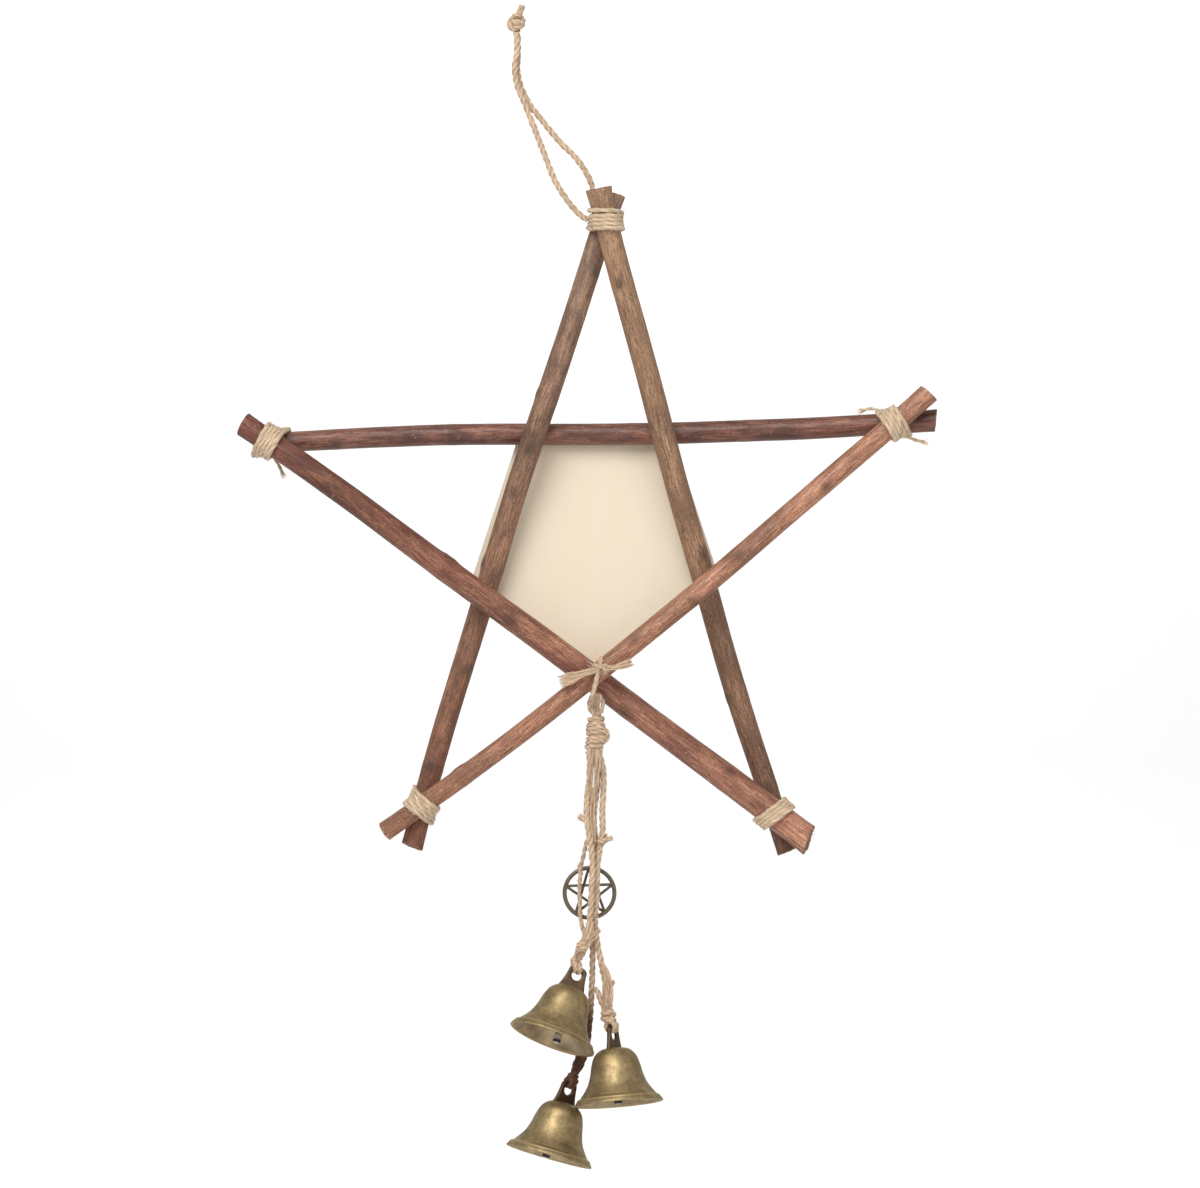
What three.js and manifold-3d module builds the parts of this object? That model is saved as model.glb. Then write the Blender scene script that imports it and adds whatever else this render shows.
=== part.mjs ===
// Willow pentagram wall hanging: five willow rods lashed into a star with jute, a plywood pentagon
// behind the middle, a hanging loop, and a hank of jute that carries a cast charm and three cast bells.
// Millimetres. +X right, +Z up, +Y into the wall. The origin is the nail, inside the loop under its knot.
import * as THREE from 'three';
import Module from 'manifold-3d';
import { mergeVertices } from 'three/addons/utils/BufferGeometryUtils.js';

const wasm = await Module();
wasm.setup();

// Clearance kept between pieces that touch, and the room a faceted turn leaves round a faceted rod
const TOUCH = 0.3;
const FACET_ROOM = 0.75;

// Surface detail finer than this is dropped where shapes are joined
const SLIVER = 0.02;

// Jute: the cords and the hanging loop, the thinner twine of lashings and ties, the charm's strand
const CORD_DIAMETER = 2.8;
const TWINE_DIAMETER = 2.2;
const STRAND_DIAMETER = 2.0;
const CORD_SIDES = 8;
const CORD_STEP = 4;
const EYE_SEGMENTS = 10;
const EYE_SIDES = 6;

// Rods: cut ends of each centre line as [x, z], the bow and sway of the line sideways,
// and the diameters (girth) at its start, middle and end
const RODS = {
  left_leg: { from: [41.6, -67.6], to: [-45.2, -347.6], bow: 2.3, sway: -0.4, girth: [9.6, 9.7, 9.1] },
  right_leg: { from: [35.0, -65.5], to: [116.6, -350.0], bow: 2.6, sway: -0.35, girth: [9.8, 10.1, 8.9] },
  crossbar: { from: [-113.5, -174.2], to: [180.2, -164.4], bow: 0.6, sway: -1.2, girth: [8.6, 9.4, 9.3] },
  left_diagonal: { from: [-117.2, -166.2], to: [125.4, -344.6], bow: -1.2, sway: -0.45, girth: [10, 11, 12.4] },
  right_diagonal: { from: [176.9, -152.9], to: [-56.5, -341.2], bow: -4.0, sway: 0.5, girth: [8.9, 8.6, 8.2] },
};
const ROD_SIDES = 12;
const ROD_STATIONS = 11;

// Crossings: the rod in front, the rod behind, the depth of the plane between them,
// and the air left where they are not lashed together
const CROSSINGS = {
  top: { front: 'right_leg', back: 'left_leg', depth: -3.3, air: 0 },
  left: { front: 'left_diagonal', back: 'crossbar', depth: -0.9, air: 0 },
  right: { front: 'right_diagonal', back: 'crossbar', depth: 0.9, air: 0 },
  lower_left: { front: 'right_diagonal', back: 'left_leg', depth: -1.0, air: 0.35 },
  lower_right: { front: 'left_diagonal', back: 'right_leg', depth: 4.8, air: 0 },
  upper_left_inner: { front: 'left_leg', back: 'crossbar', depth: 5.3, air: 0.1 },
  upper_right_inner: { front: 'right_leg', back: 'crossbar', depth: 5.3, air: 0.8 },
  left_inner: { front: 'left_diagonal', back: 'left_leg', depth: -0.3, air: 0.1 },
  right_inner: { front: 'right_diagonal', back: 'right_leg', depth: -0.7, air: 4.8 },
  lower_inner: { front: 'right_diagonal', back: 'left_diagonal', depth: -7.1, air: 0.2 },
};

// Lashings: the angle of the line the turns are stacked along, the number of turns, a shift along
// that line, extra room where the rods' facets crowd the turns, and the twine's cut tails: where each
// leaves the band (its distance along the line and its angle round it) and its [x, y, z] points
const LASHINGS = {
  top: { lean: 90, turns: 5, shift: -0.6, room: 0.2, tails: [] },
  left: {
    lean: -36, turns: 5, shift: 0.4, room: 0,
    tails: [{ distance: 4.2, facing: 157.5, points: [[-103.4, 4.6, -183.6], [-100.6, 3.0, -187.6]] }],
  },
  right: {
    lean: 40, turns: 5, shift: 0.2, room: 0.15,
    tails: [
      { distance: 2.6, facing: 157.5, points: [[171.0, 5.0, -172.6], [175.3, 4.4, -173.6]] },
      { distance: -4.0, facing: 22.5, points: [[152.8, 5.0, -159.2], [148.2, 6.0, -160.2]] },
    ],
  },
  lower_left: { lean: 52, turns: 5, shift: 0, room: 0, tails: [] },
  lower_right: { lean: -54, turns: 4, shift: -0.4, room: 0.25, tails: [] },
};
const TURN_PITCH = 2.1;
const TURN_CREST = 1.05;
const TURN_VALLEY = 0.55;
const TAIL_DIAMETER = 1.5;
const LASHING_SIDES = 16;

// Plywood pentagon, one corner down, glued to the backs of the rods: its rise over the middle of
// the five inner crossings, and its clearance from the rods
const PLATE_RADIUS = 56.1;
const PLATE_THICKNESS = 2;
const PLATE_RISE = 3;
const PLATE_ROOM = 0.45;

// Hanging loop: the overhand knot as lumps [x, y, z, half width, half depth, half height],
// and the two strands from the knot to the top lashing
const KNOT_LUMPS = [
  [1.9, 0, 12.4, 2.4, 2.2, 3.0],
  [-0.7, 0, 6.4, 3.7, 3.3, 3.4],
  [0.4, -0.6, 9.0, 3.0, 2.8, 2.6],
];
const LOOP_LEFT = [
  [-0.3, -1.6, 2.2], [0.1, -1.7, -5.0], [-0.9, -1.7, -13.0], [0.1, -1.7, -20.5], [3.2, -1.8, -28.0],
  [7.9, -2.2, -40.0], [12.3, -2.6, -51.5], [16.6, -3.1, -62.0], [22.2, -3.7, -70.8], [26.0, -4.0, -75.2],
  [28.3, -4.2, -77.2],
];
const LOOP_RIGHT = [
  [0.3, 1.6, 2.2], [0.4, 1.6, -6.0], [0.2, 1.6, -13.5], [1.6, 1.6, -20.5], [5.2, 1.5, -28.0],
  [10.9, 1.4, -35.5], [18.2, 1.3, -44.4], [25.5, 1.2, -51.7], [30.4, 0.9, -59.0], [32.9, 0.7, -66.0],
  [33.2, 0.5, -70.6],
];

// Centre tie: one slack turn round the lower inner crossing, its knot and two frayed tails in front
const TIE_SHIFT = 2.0;
const TIE_SLACK = 5;
const TIE_SIDES = 14;
const TIE_SAG_FACING = 225;
const TIE_KNOT = [
  [37.0, -18.6, -271.2, 2.6, 2.2, 2.2],
  [34.9, -18.6, -270.6, 2.2, 2.0, 2.0],
];
const TAIL_STEPS = 3;
const TIE_TAILS = [
  { points: [[35.5, -18.8, -270.9], [27.5, -18.9, -273.4], [17.8, -18.2, -277.2]], width: 4.6 },
  { points: [[36.5, -18.8, -271.2], [43.5, -18.9, -270.2], [50.4, -18.4, -267.6]], width: 3.6 },
];

// Hank: an eye hooked over the tie, and the wrapped body below it as
// [z, x of the middle, half width, half depth] sections from top to bottom
const HANK_DEPTH = -9.3;
const HANK_EYE = { half_width: 2.9, half_height: 4.2 };
const HANK_SECTIONS = [
  [-290.6, 34.0, 2.2, 2.0], [-292.6, 34.0, 3.8, 3.0], [-296.0, 33.8, 4.2, 3.6], [-299.0, 34.2, 4.7, 3.9],
  [-301.6, 34.1, 4.5, 3.7], [-304.4, 33.2, 4.2, 3.5], [-307.4, 33.0, 3.9, 3.3],
];
const HANK_SIDES = 12;

// Bells: the wall, the outer profile as [radius, share of the height over the rim], and the cast ear: its
// width at the foot, at the shoulder and over the round top, and how far the shoulder lies under the top
const BELL_WALL = 1.3;
const BELL_PROFILE = [
  [19.1, 0], [18.6, 0.042], [15.6, 0.175], [12.9, 0.342], [11.4, 0.517], [10.4, 0.7], [8.9, 0.858],
  [6.4, 0.958], [3.4, 0.992],
];
const BELL_HEIGHT = 24;
const BELL_SEGMENTS = 16;
const EAR = { base: 13.4, shoulder: 8.0, top: 6.2, drop: 1.6, height: 9.6, thickness: 1.6 };
const EAR_HOLE = { radius: 2.3, height: 5.6 };
const EAR_SINK = 0.8;

// Staple under the crown and the clapper's ring, rod and weight
const LINK_RADIUS = 3.2;
const LINK_SEGMENTS = 8;
const LINK_WIRE = 0.6;
const LINK_EASE = 0.3;
const CLAPPER_WIRE = 1.0;
const CLAPPER_WEIGHT = { radius: 2.2, height: 4.4 };

// Each bell: the middle of its ear's hole, the lean of its axis to the left, its tip towards the front,
// the turn of its ear, and the place of its clapper's tip
const BELLS = {
  left: { hole: [25.6, -4.0, -402.9], lean: 21.3, tip: 15.5, turn: 12, clapper: [17.2, -12.4, -430.2] },
  right: { hole: [41.3, -3.4, -428.3], lean: -5.0, tip: 9.2, turn: 62, clapper: [43.4, -7.4, -456.2] },
  lowest: { hole: [21.9, 1.0, -452.4], lean: 16.2, tip: 8.3, turn: 38, clapper: [12.7, -3.2, -480.0] },
};

// Bell cords: the strand down from the hank, the return strand that ends against it,
// and lumps for knots and frayed nubs
const BELL_CORDS = {
  left: {
    down: [
      [31.2, -10.6, -307.9], [31.2, -10.6, -318.0], [30.5, -10.6, -323.4], [30.0, -10.6, -330.0],
      [30.2, -10.6, -336.0], [30.9, -10.7, -341.5], [32.0, -10.9, -348.5], [32.5, -10.9, -356.0],
      [32.2, -10.7, -364.0], [31.8, -10.2, -373.0], [31.2, -9.4, -380.0], [29.8, -8.2, -386.0],
      [27.8, -7.0, -390.2], [25.6, -5.4, -394.6],
    ],
    back: [[32.2, -10.0, -382.0], [30.2, -9.2, -388.6], [27.7, -6.6, -394.2]],
    lumps: [[28.2, -10.6, -335.2, 1.9, 1.6, 2.2]],
  },
  right: {
    down: [
      [35.6, -9.1, -307.9], [36.8, -9.3, -313.0], [37.3, -9.3, -319.0], [37.0, -9.3, -326.0],
      [36.7, -9.2, -334.0], [36.8, -9.1, -341.0], [35.7, -8.9, -348.0], [34.8, -8.5, -353.0],
      [34.4, -8.1, -361.0], [34.3, -7.8, -369.0], [33.7, -7.4, -377.0], [33.8, -6.8, -383.5],
      [34.4, -6.0, -388.0], [35.4, -5.4, -393.5], [36.3, -5.0, -398.0], [37.6, -4.4, -404.0],
      [39.2, -3.9, -410.0], [39.8, -3.4, -416.0],
    ],
    back: [[33.8, -3.6, -407.8], [35.2, -3.8, -411.4], [37.2, -3.4, -416.4]],
    lumps: [
      [36.9, -9.4, -345.0, 2.5, 2.2, 2.4], [39.2, -9.5, -344.2, 1.7, 1.4, 1.5],
      [39.0, -3.0, -419.4, 2.8, 2.3, 2.0], [40.4, -3.9, -408.6, 1.9, 1.7, 2.4],
    ],
  },
  lowest: {
    down: [
      [33.8, -5.9, -307.9], [34.5, -6.6, -313.0], [34.7, -7.2, -319.0], [34.1, -7.9, -325.0],
      [33.3, -8.2, -330.5], [33.0, -8.1, -335.5], [33.4, -7.3, -341.0], [34.0, -6.1, -347.0],
      [34.4, -5.1, -354.0], [34.3, -4.8, -364.0], [33.8, -4.4, -373.0], [33.0, -3.9, -380.0],
      [32.5, -3.0, -386.0], [32.5, -1.6, -395.0], [32.3, -0.2, -404.0], [31.9, 1.4, -413.0],
      [31.2, 2.6, -424.0], [29.9, 2.9, -434.0], [27.9, 2.4, -441.0],
    ],
    back: [[31.2, 4.4, -418.0], [30.2, 5.0, -426.0], [27.6, 4.4, -435.0], [25.0, 3.2, -442.2]],
    lumps: [],
  },
};

// Charm: a ring round a five-pointed star, hitched to its own strand
const CHARM = { centre: [31.2, -0.2, -367.6], radius: 11.5, rim: 1.6, thickness: 1.4, turn: -2 };
const STAR_BAR = { width: 1.2, thickness: 1.2 };
const CHARM_SEGMENTS = 24;
const CHARM_CORD = [
  [29.6, -7.4, -346.6], [28.8, -6.4, -350.5], [27.5, -3.9, -356.0], [27.1, -3.0, -360.0],
  [26.9, -3.0, -365.0], [27.0, -3.0, -371.0], [27.3, -3.2, -377.0], [28.1, -4.0, -382.0],
  [29.0, -5.2, -385.4],
];
const CHARM_HITCH_DIAMETER = 1.3;

// Hitch of a bell cord: the cord pulled thin in its turn through the ear, the slack left in the turn,
// and the half width and half height of its knot
const HITCH_DIAMETER = 2.4;
const HITCH_EASE = 0.35;
const HITCH_KNOT = { half_width: 2.2, half_height: 1.7, rise: 0.4 };

const finish = (color, roughness, metalness) => new THREE.MeshStandardMaterial({ color, roughness, metalness });
const FINISHES = {
  left_leg: finish('#7f6657', 0.65, 0),
  right_leg: finish('#8c745f', 0.65, 0),
  crossbar: finish('#6b4a44', 0.5, 0),
  left_diagonal: finish('#8a6356', 0.55, 0),
  right_diagonal: finish('#a97a64', 0.6, 0),
  plywood: finish('#f1e2c8', 0.6, 0),
  jute: finish('#d9b88f', 0.9, 0),
  brass: finish('#87764e', 0.42, 1),
  bronze: finish('#5f5548', 0.5, 1),
  steel: finish('#a9a69c', 0.35, 1),
};

const group = new THREE.Group();

function place(name, geometry, material) {
  const mesh = new THREE.Mesh(geometry, material);
  mesh.name = name;
  group.add(mesh);
  return mesh;
}

const point = ([x, y, z]) => new THREE.Vector3(x, y, z);

// Positions and triangles only, with shared vertices merged and the faces pointing out
function bare(geometry) {
  const plain = new THREE.BufferGeometry();
  plain.setAttribute('position', geometry.getAttribute('position'));
  plain.setIndex(geometry.getIndex());
  const merged = mergeVertices(plain, 1e-4);
  const corners = merged.getAttribute('position');
  const index = merged.getIndex().array;
  const [a, b, c] = [new THREE.Vector3(), new THREE.Vector3(), new THREE.Vector3()];
  let volume = 0;
  for (let i = 0; i < index.length; i += 3) {
    a.fromBufferAttribute(corners, index[i]);
    b.fromBufferAttribute(corners, index[i + 1]);
    c.fromBufferAttribute(corners, index[i + 2]);
    volume += a.dot(b.cross(c));
  }
  if (volume < 0) {
    for (let i = 0; i < index.length; i += 3) {
      [index[i + 1], index[i + 2]] = [index[i + 2], index[i + 1]];
    }
  }
  return merged;
}

function toSolid(geometry) {
  const plain = bare(geometry);
  const vertProperties = Float32Array.from(plain.getAttribute('position').array);
  const triVerts = Uint32Array.from(plain.getIndex().array);
  return new wasm.Manifold(new wasm.Mesh({ numProp: 3, vertProperties, triVerts }));
}

function toGeometry(solid) {
  const mesh = solid.simplify(SLIVER).getMesh();
  const geometry = new THREE.BufferGeometry();
  geometry.setAttribute('position', new THREE.BufferAttribute(mesh.vertProperties, 3));
  geometry.setIndex(new THREE.BufferAttribute(mesh.triVerts, 1));
  return geometry;
}

// One body from shapes that overlap
const join = (shapes) => toGeometry(shapes.map(toSolid).reduce((sum, next) => sum.add(next)));

// Skin over rings of equal length: capped at both ends, or closed on itself
function skin(rings, closed) {
  const sides = rings[0].length;
  const vertices = rings.flat();
  const index = [];
  const last = closed ? rings.length : rings.length - 1;
  for (let r = 0; r < last; r += 1) {
    const low = r * sides;
    const high = ((r + 1) % rings.length) * sides;
    for (let s = 0; s < sides; s += 1) {
      const next = (s + 1) % sides;
      index.push(low + s, low + next, high + next, low + s, high + next, high + s);
    }
  }
  if (!closed) {
    const start = vertices.length;
    for (const ring of [rings[0], rings[rings.length - 1]]) {
      const middle = new THREE.Vector3();
      ring.forEach((corner) => middle.addScaledVector(corner, 1 / sides));
      vertices.push(middle);
    }
    const top = (rings.length - 1) * sides;
    for (let s = 0; s < sides; s += 1) {
      const next = (s + 1) % sides;
      index.push(start, next, s, start + 1, top + s, top + next);
    }
  }
  const geometry = new THREE.BufferGeometry();
  geometry.setAttribute('position', new THREE.Float32BufferAttribute(vertices.flatMap((v) => v.toArray()), 3));
  geometry.setIndex(index);
  return bare(geometry);
}

// Round cord along a smooth curve through the points
function cord(points, diameter) {
  const curve = new THREE.CatmullRomCurve3(points, false, 'centripetal');
  const section = [];
  for (let s = 0; s < CORD_SIDES; s += 1) {
    const angle = (2 * Math.PI * s) / CORD_SIDES;
    section.push(new THREE.Vector2(Math.cos(angle), Math.sin(angle)).multiplyScalar(diameter / 2));
  }
  const steps = Math.max(2, Math.ceil(curve.getLength() / (CORD_STEP * diameter)));
  const options = { steps, bevelEnabled: false, extrudePath: curve };
  return bare(new THREE.ExtrudeGeometry(new THREE.Shape(section), options));
}

// Closed round loop of cord in the plane of two unit directions
function eye(centre, across, along, halfAcross, halfAlong, diameter, segments = EYE_SEGMENTS) {
  const normal = new THREE.Vector3().crossVectors(across, along);
  const rings = [];
  for (let r = 0; r < segments; r += 1) {
    const angle = (2 * Math.PI * r) / segments;
    const [c, s] = [Math.cos(angle), Math.sin(angle)];
    const middle = centre.clone().addScaledVector(across, halfAcross * c).addScaledVector(along, halfAlong * s);
    const out = across.clone().multiplyScalar(halfAlong * c).addScaledVector(along, halfAcross * s).normalize();
    const ring = [];
    for (let k = 0; k < EYE_SIDES; k += 1) {
      const turn = (2 * Math.PI * k) / EYE_SIDES;
      ring.push(middle.clone()
        .addScaledVector(out, (diameter / 2) * Math.cos(turn))
        .addScaledVector(normal, (diameter / 2) * Math.sin(turn)));
    }
    rings.push(ring);
  }
  return skin(rings, true);
}

function lump([x, y, z, halfX, halfY, halfZ]) {
  const ball = new THREE.SphereGeometry(1, 6, 4);
  ball.scale(halfX, halfY, halfZ);
  ball.translate(x, y, z);
  return bare(ball);
}

// Rods

const chord = (rod) => new THREE.Vector2(rod.to[0] - rod.from[0], rod.to[1] - rod.from[1]);

// Place on the centre line seen from the front: the chord, plus a bow and a sway square to it
function flatPoint(rod, t) {
  const line = chord(rod);
  const square = new THREE.Vector2(line.y, -line.x).normalize();
  const side = rod.bow * 4 * t * (1 - t) + rod.sway * Math.sin(2 * Math.PI * t);
  return new THREE.Vector2(...rod.from).addScaledVector(line, t).addScaledVector(square, side);
}

function flatSlope(rod, t) {
  const step = 1e-4;
  return flatPoint(rod, t + step).sub(flatPoint(rod, t - step)).divideScalar(2 * step);
}

// Radius: half the parabola through the three diameters
function rodRadius(rod, t) {
  const [start, middle, end] = rod.girth;
  const blend = start * (1 - t) * (1 - 2 * t) + middle * 4 * t * (1 - t) + end * t * (2 * t - 1);
  return blend / 2;
}

// Where two centre lines cross in the front view, by Newton steps from the middle
function meet(first, second) {
  let [t, u] = [0.5, 0.5];
  for (let pass = 0; pass < 12; pass += 1) {
    const gap = flatPoint(second, u).sub(flatPoint(first, t));
    const [a, b] = [flatSlope(first, t), flatSlope(second, u)];
    const area = a.cross(b);
    t += gap.cross(b) / area;
    u += gap.cross(a) / area;
  }
  return [t, u];
}

for (const crossing of Object.values(CROSSINGS)) {
  const [front, back] = [RODS[crossing.front], RODS[crossing.back]];
  const [t, u] = meet(front, back);
  crossing.place = flatPoint(front, t);
  crossing.along = { [crossing.front]: t, [crossing.back]: u };
  crossing.spread = 1;
}

// Each rod's depths at its crossings. Spread is how much further apart two rods sit because their
// lines also slope in depth
function settleRods() {
  for (const rod of Object.values(RODS)) {
    rod.stations = [];
  }
  for (const crossing of Object.values(CROSSINGS)) {
    const [front, back] = [RODS[crossing.front], RODS[crossing.back]];
    const [t, u] = [crossing.along[crossing.front], crossing.along[crossing.back]];
    const half = TOUCH / 2;
    const frontDepth = (half + rodRadius(front, t)) * crossing.spread + crossing.air;
    front.stations.push([t, crossing.depth - frontDepth]);
    back.stations.push([u, crossing.depth + (half + rodRadius(back, u)) * crossing.spread]);
  }
}

// Depth: the cubic through the depths at the rod's four crossings
function rodDepth(rod, t) {
  let depth = 0;
  for (const [here, value] of rod.stations) {
    let weight = value;
    for (const [other] of rod.stations) {
      if (other !== here) {
        weight *= (t - other) / (here - other);
      }
    }
    depth += weight;
  }
  return depth;
}

function rodPoint(rod, t) {
  const flat = flatPoint(rod, t);
  return new THREE.Vector3(flat.x, rodDepth(rod, t), flat.y);
}

function rodAlong(rod, t) {
  return rodPoint(rod, t + 1e-3).sub(rodPoint(rod, t - 1e-3)).normalize();
}

for (let pass = 0; pass < 4; pass += 1) {
  settleRods();
  for (const crossing of Object.values(CROSSINGS)) {
    const [a, b] = [crossing.front, crossing.back].map((name) => rodAlong(RODS[name], crossing.along[name]));
    const square = a.cross(b);
    crossing.spread = square.length() / Math.abs(square.y);
  }
}

function makeRod(name) {
  const rod = RODS[name];
  const rings = [];
  for (let station = 0; station < ROD_STATIONS; station += 1) {
    const t = station / (ROD_STATIONS - 1);
    const centre = rodPoint(rod, t);
    const along = rodAlong(rod, t);
    const across = new THREE.Vector3(0, 1, 0).cross(along).normalize();
    const out = along.clone().cross(across);
    const ring = [];
    for (let side = 0; side < ROD_SIDES; side += 1) {
      const angle = (2 * Math.PI * side) / ROD_SIDES;
      ring.push(centre.clone()
        .addScaledVector(across, rodRadius(rod, t) * Math.cos(angle))
        .addScaledVector(out, rodRadius(rod, t) * Math.sin(angle)));
    }
    rings.push(ring);
  }
  place(`${name}_rod`, skin(rings, false), FINISHES[name]);
}

// Lashings

// Section of both rods of a crossing in the plane that cuts the stacking line at a distance:
// each is an ellipse with its place across the line, its depth, and its half width and half depth
function sections(crossing, lean, distance) {
  const line = new THREE.Vector2(Math.cos(lean), Math.sin(lean));
  return [crossing.front, crossing.back].map((name) => {
    const rod = RODS[name];
    const along = flatSlope(rod, crossing.along[name]);
    const t = crossing.along[name] + distance / along.dot(line);
    const radius = rodRadius(rod, t);
    const slant = Math.abs(along.clone().normalize().dot(line));
    return {
      side: line.cross(flatPoint(rod, t).sub(crossing.place)),
      depth: rodDepth(rod, t),
      halfWidth: radius / slant,
      halfDepth: radius,
    };
  });
}

// Reach of a taut turn round the ellipses from the middle between them: the nearest of the lines
// that touch them all, moved out by the offset
function reach(ellipses, middle, angle, offset) {
  const directions = 72;
  let nearest = Infinity;
  for (let d = 0; d < directions; d += 1) {
    const facing = (2 * Math.PI * d) / directions;
    const [c, s] = [Math.cos(facing), Math.sin(facing)];
    const along = Math.cos(facing - angle);
    if (along > 0.05) {
      const support = Math.max(...ellipses.map((e) => (e.side - middle.x) * c + (e.depth - middle.y) * s
        + Math.hypot(e.halfWidth * c, e.halfDepth * s)));
      nearest = Math.min(nearest, (support + offset(facing)) / along);
    }
  }
  return nearest;
}

// Point of a taut turn at a distance along the stacking line and an angle round it
function turnPoint(crossing, lean, distance, offset, angle) {
  const line = new THREE.Vector2(Math.cos(lean), Math.sin(lean));
  const side = new THREE.Vector2(-line.y, line.x);
  const [a, b] = sections(crossing, lean, distance);
  const middle = new THREE.Vector2(a.side + b.side, a.depth + b.depth).divideScalar(2);
  const far = reach([a, b], middle, angle, offset);
  const flat = crossing.place.clone().addScaledVector(line, distance)
    .addScaledVector(side, middle.x + far * Math.cos(angle));
  return new THREE.Vector3(flat.x, middle.y + far * Math.sin(angle), flat.y);
}

function turnRing(crossing, lean, distance, offset, sides) {
  const ring = [];
  for (let s = 0; s < sides; s += 1) {
    ring.push(turnPoint(crossing, lean, distance, offset, (2 * Math.PI * s) / sides));
  }
  return ring;
}

// Band of turns pressed side by side: flat inside, a rounded rib outside for each turn
function makeLashing(name) {
  const { lean, turns, shift, room, tails } = LASHINGS[name];
  const half = (turns * TURN_PITCH) / 2;
  const seat = TOUCH + FACET_ROOM + room;
  const profile = [[half, seat], [0, seat], [-half, seat]];
  for (let turn = 0; turn < turns; turn += 1) {
    const middle = -half + (turn + 0.5) * TURN_PITCH;
    if (turn > 0) {
      profile.push([middle - TURN_PITCH / 2, seat + TURN_VALLEY * TWINE_DIAMETER]);
    }
    profile.push([middle, seat + TURN_CREST * TWINE_DIAMETER]);
  }
  const angle = THREE.MathUtils.degToRad(lean);
  const rings = profile.map(([distance, offset]) => (
    turnRing(CROSSINGS[name], angle, distance + shift, () => offset, LASHING_SIDES)));
  const band = skin(rings, true);
  const ends = tails.map(({ distance, facing, points }) => {
    const root = turnPoint(CROSSINGS[name], angle, distance + shift, () => seat + TWINE_DIAMETER / 2,
      THREE.MathUtils.degToRad(facing));
    return cord([root, ...points.map(point)], TAIL_DIAMETER);
  });
  place(`${name}_lashing`, ends.length ? join([band, ...ends]) : band, FINISHES.jute);
}

// Plywood pentagon: its front face leans from the crossbar's back to the backs of the two legs

function makePlate() {
  const corners = ['upper_left_inner', 'upper_right_inner', 'left_inner', 'right_inner', 'lower_inner'];
  const centre = new THREE.Vector2();
  corners.forEach((name) => centre.addScaledVector(CROSSINGS[name].place, 1 / corners.length));
  centre.y += PLATE_RISE;
  const backOf = (name) => {
    const crossing = CROSSINGS[name];
    const rod = RODS[crossing.back];
    const t = crossing.along[crossing.back];
    return [crossing.place.y, rodDepth(rod, t) + rodRadius(rod, t)];
  };
  const further = (a, b) => (a[1] > b[1] ? a : b);
  const [highZ, highY] = ['upper_left_inner', 'upper_right_inner'].map(backOf).reduce(further);
  const [lowZ, lowY] = ['left_inner', 'right_inner'].map(backOf).reduce(further);
  const lean = Math.atan2(highY - lowY, highZ - lowZ);
  const shape = new THREE.Shape();
  for (let corner = 0; corner < 5; corner += 1) {
    const angle = (2 * Math.PI * corner) / 5 - Math.PI / 2;
    shape[corner ? 'lineTo' : 'moveTo'](PLATE_RADIUS * Math.cos(angle), PLATE_RADIUS * Math.sin(angle));
  }
  const sheet = new THREE.ExtrudeGeometry(shape, { depth: PLATE_THICKNESS, bevelEnabled: false });
  sheet.rotateX(Math.PI / 2);
  sheet.translate(0, PLATE_THICKNESS, 0);
  const mesh = place('pentagon_plate', bare(sheet), FINISHES.plywood);
  mesh.rotation.x = -lean;
  const settle = highY + PLATE_ROOM / Math.cos(lean) - (highZ - centre.y) * Math.tan(lean);
  mesh.position.set(centre.x, settle, centre.y);
}

// Centre tie

// Frayed end: the cord widens and flattens along its points
function frayedTail({ points, width }) {
  const curve = new THREE.CatmullRomCurve3(points.map(point), false, 'centripetal');
  const rings = [];
  for (let step = 0; step <= TAIL_STEPS; step += 1) {
    const t = step / TAIL_STEPS;
    const middle = curve.getPoint(t);
    const along = curve.getTangent(t);
    const out = new THREE.Vector3(0, 1, 0);
    const across = out.clone().cross(along).normalize();
    const halfWidth = THREE.MathUtils.lerp(TWINE_DIAMETER, width, t * t) / 2;
    const halfDepth = THREE.MathUtils.lerp(TWINE_DIAMETER, TWINE_DIAMETER * 0.8, t) / 2;
    const ring = [];
    for (let s = 0; s < CORD_SIDES; s += 1) {
      const angle = (2 * Math.PI * s) / CORD_SIDES;
      ring.push(middle.clone()
        .addScaledVector(across, halfWidth * Math.cos(angle))
        .addScaledVector(out, halfDepth * Math.sin(angle)));
    }
    rings.push(ring);
  }
  return skin(rings, false);
}

// Slack turn in a plane square to X: it hangs lower at the front than a taut one
function tieOffset(extra) {
  return (facing) => {
    const down = Math.cos(facing - THREE.MathUtils.degToRad(TIE_SAG_FACING));
    return TOUCH + FACET_ROOM + extra + TIE_SLACK * Math.max(0, down) ** 2;
  };
}

function makeCentreTie() {
  const crossing = CROSSINGS.lower_inner;
  const inner = turnRing(crossing, 0, TIE_SHIFT, tieOffset(0), TIE_SIDES);
  const outer = turnRing(crossing, 0, TIE_SHIFT, tieOffset(TWINE_DIAMETER), TIE_SIDES);
  const rings = inner.map((near, i) => {
    const middle = near.clone().lerp(outer[i], 0.5);
    const out = outer[i].clone().sub(near).normalize();
    const ring = [];
    for (let s = 0; s < CORD_SIDES; s += 1) {
      const angle = (2 * Math.PI * s) / CORD_SIDES;
      ring.push(middle.clone()
        .addScaledVector(out, (TWINE_DIAMETER / 2) * Math.cos(angle))
        .add(new THREE.Vector3((TWINE_DIAMETER / 2) * Math.sin(angle), 0, 0)));
    }
    return ring;
  });
  const shapes = [skin(rings, true), ...TIE_TAILS.map(frayedTail), ...TIE_KNOT.map(lump)];
  place('centre_tie', join(shapes), FINISHES.jute);
}

// Hank

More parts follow.
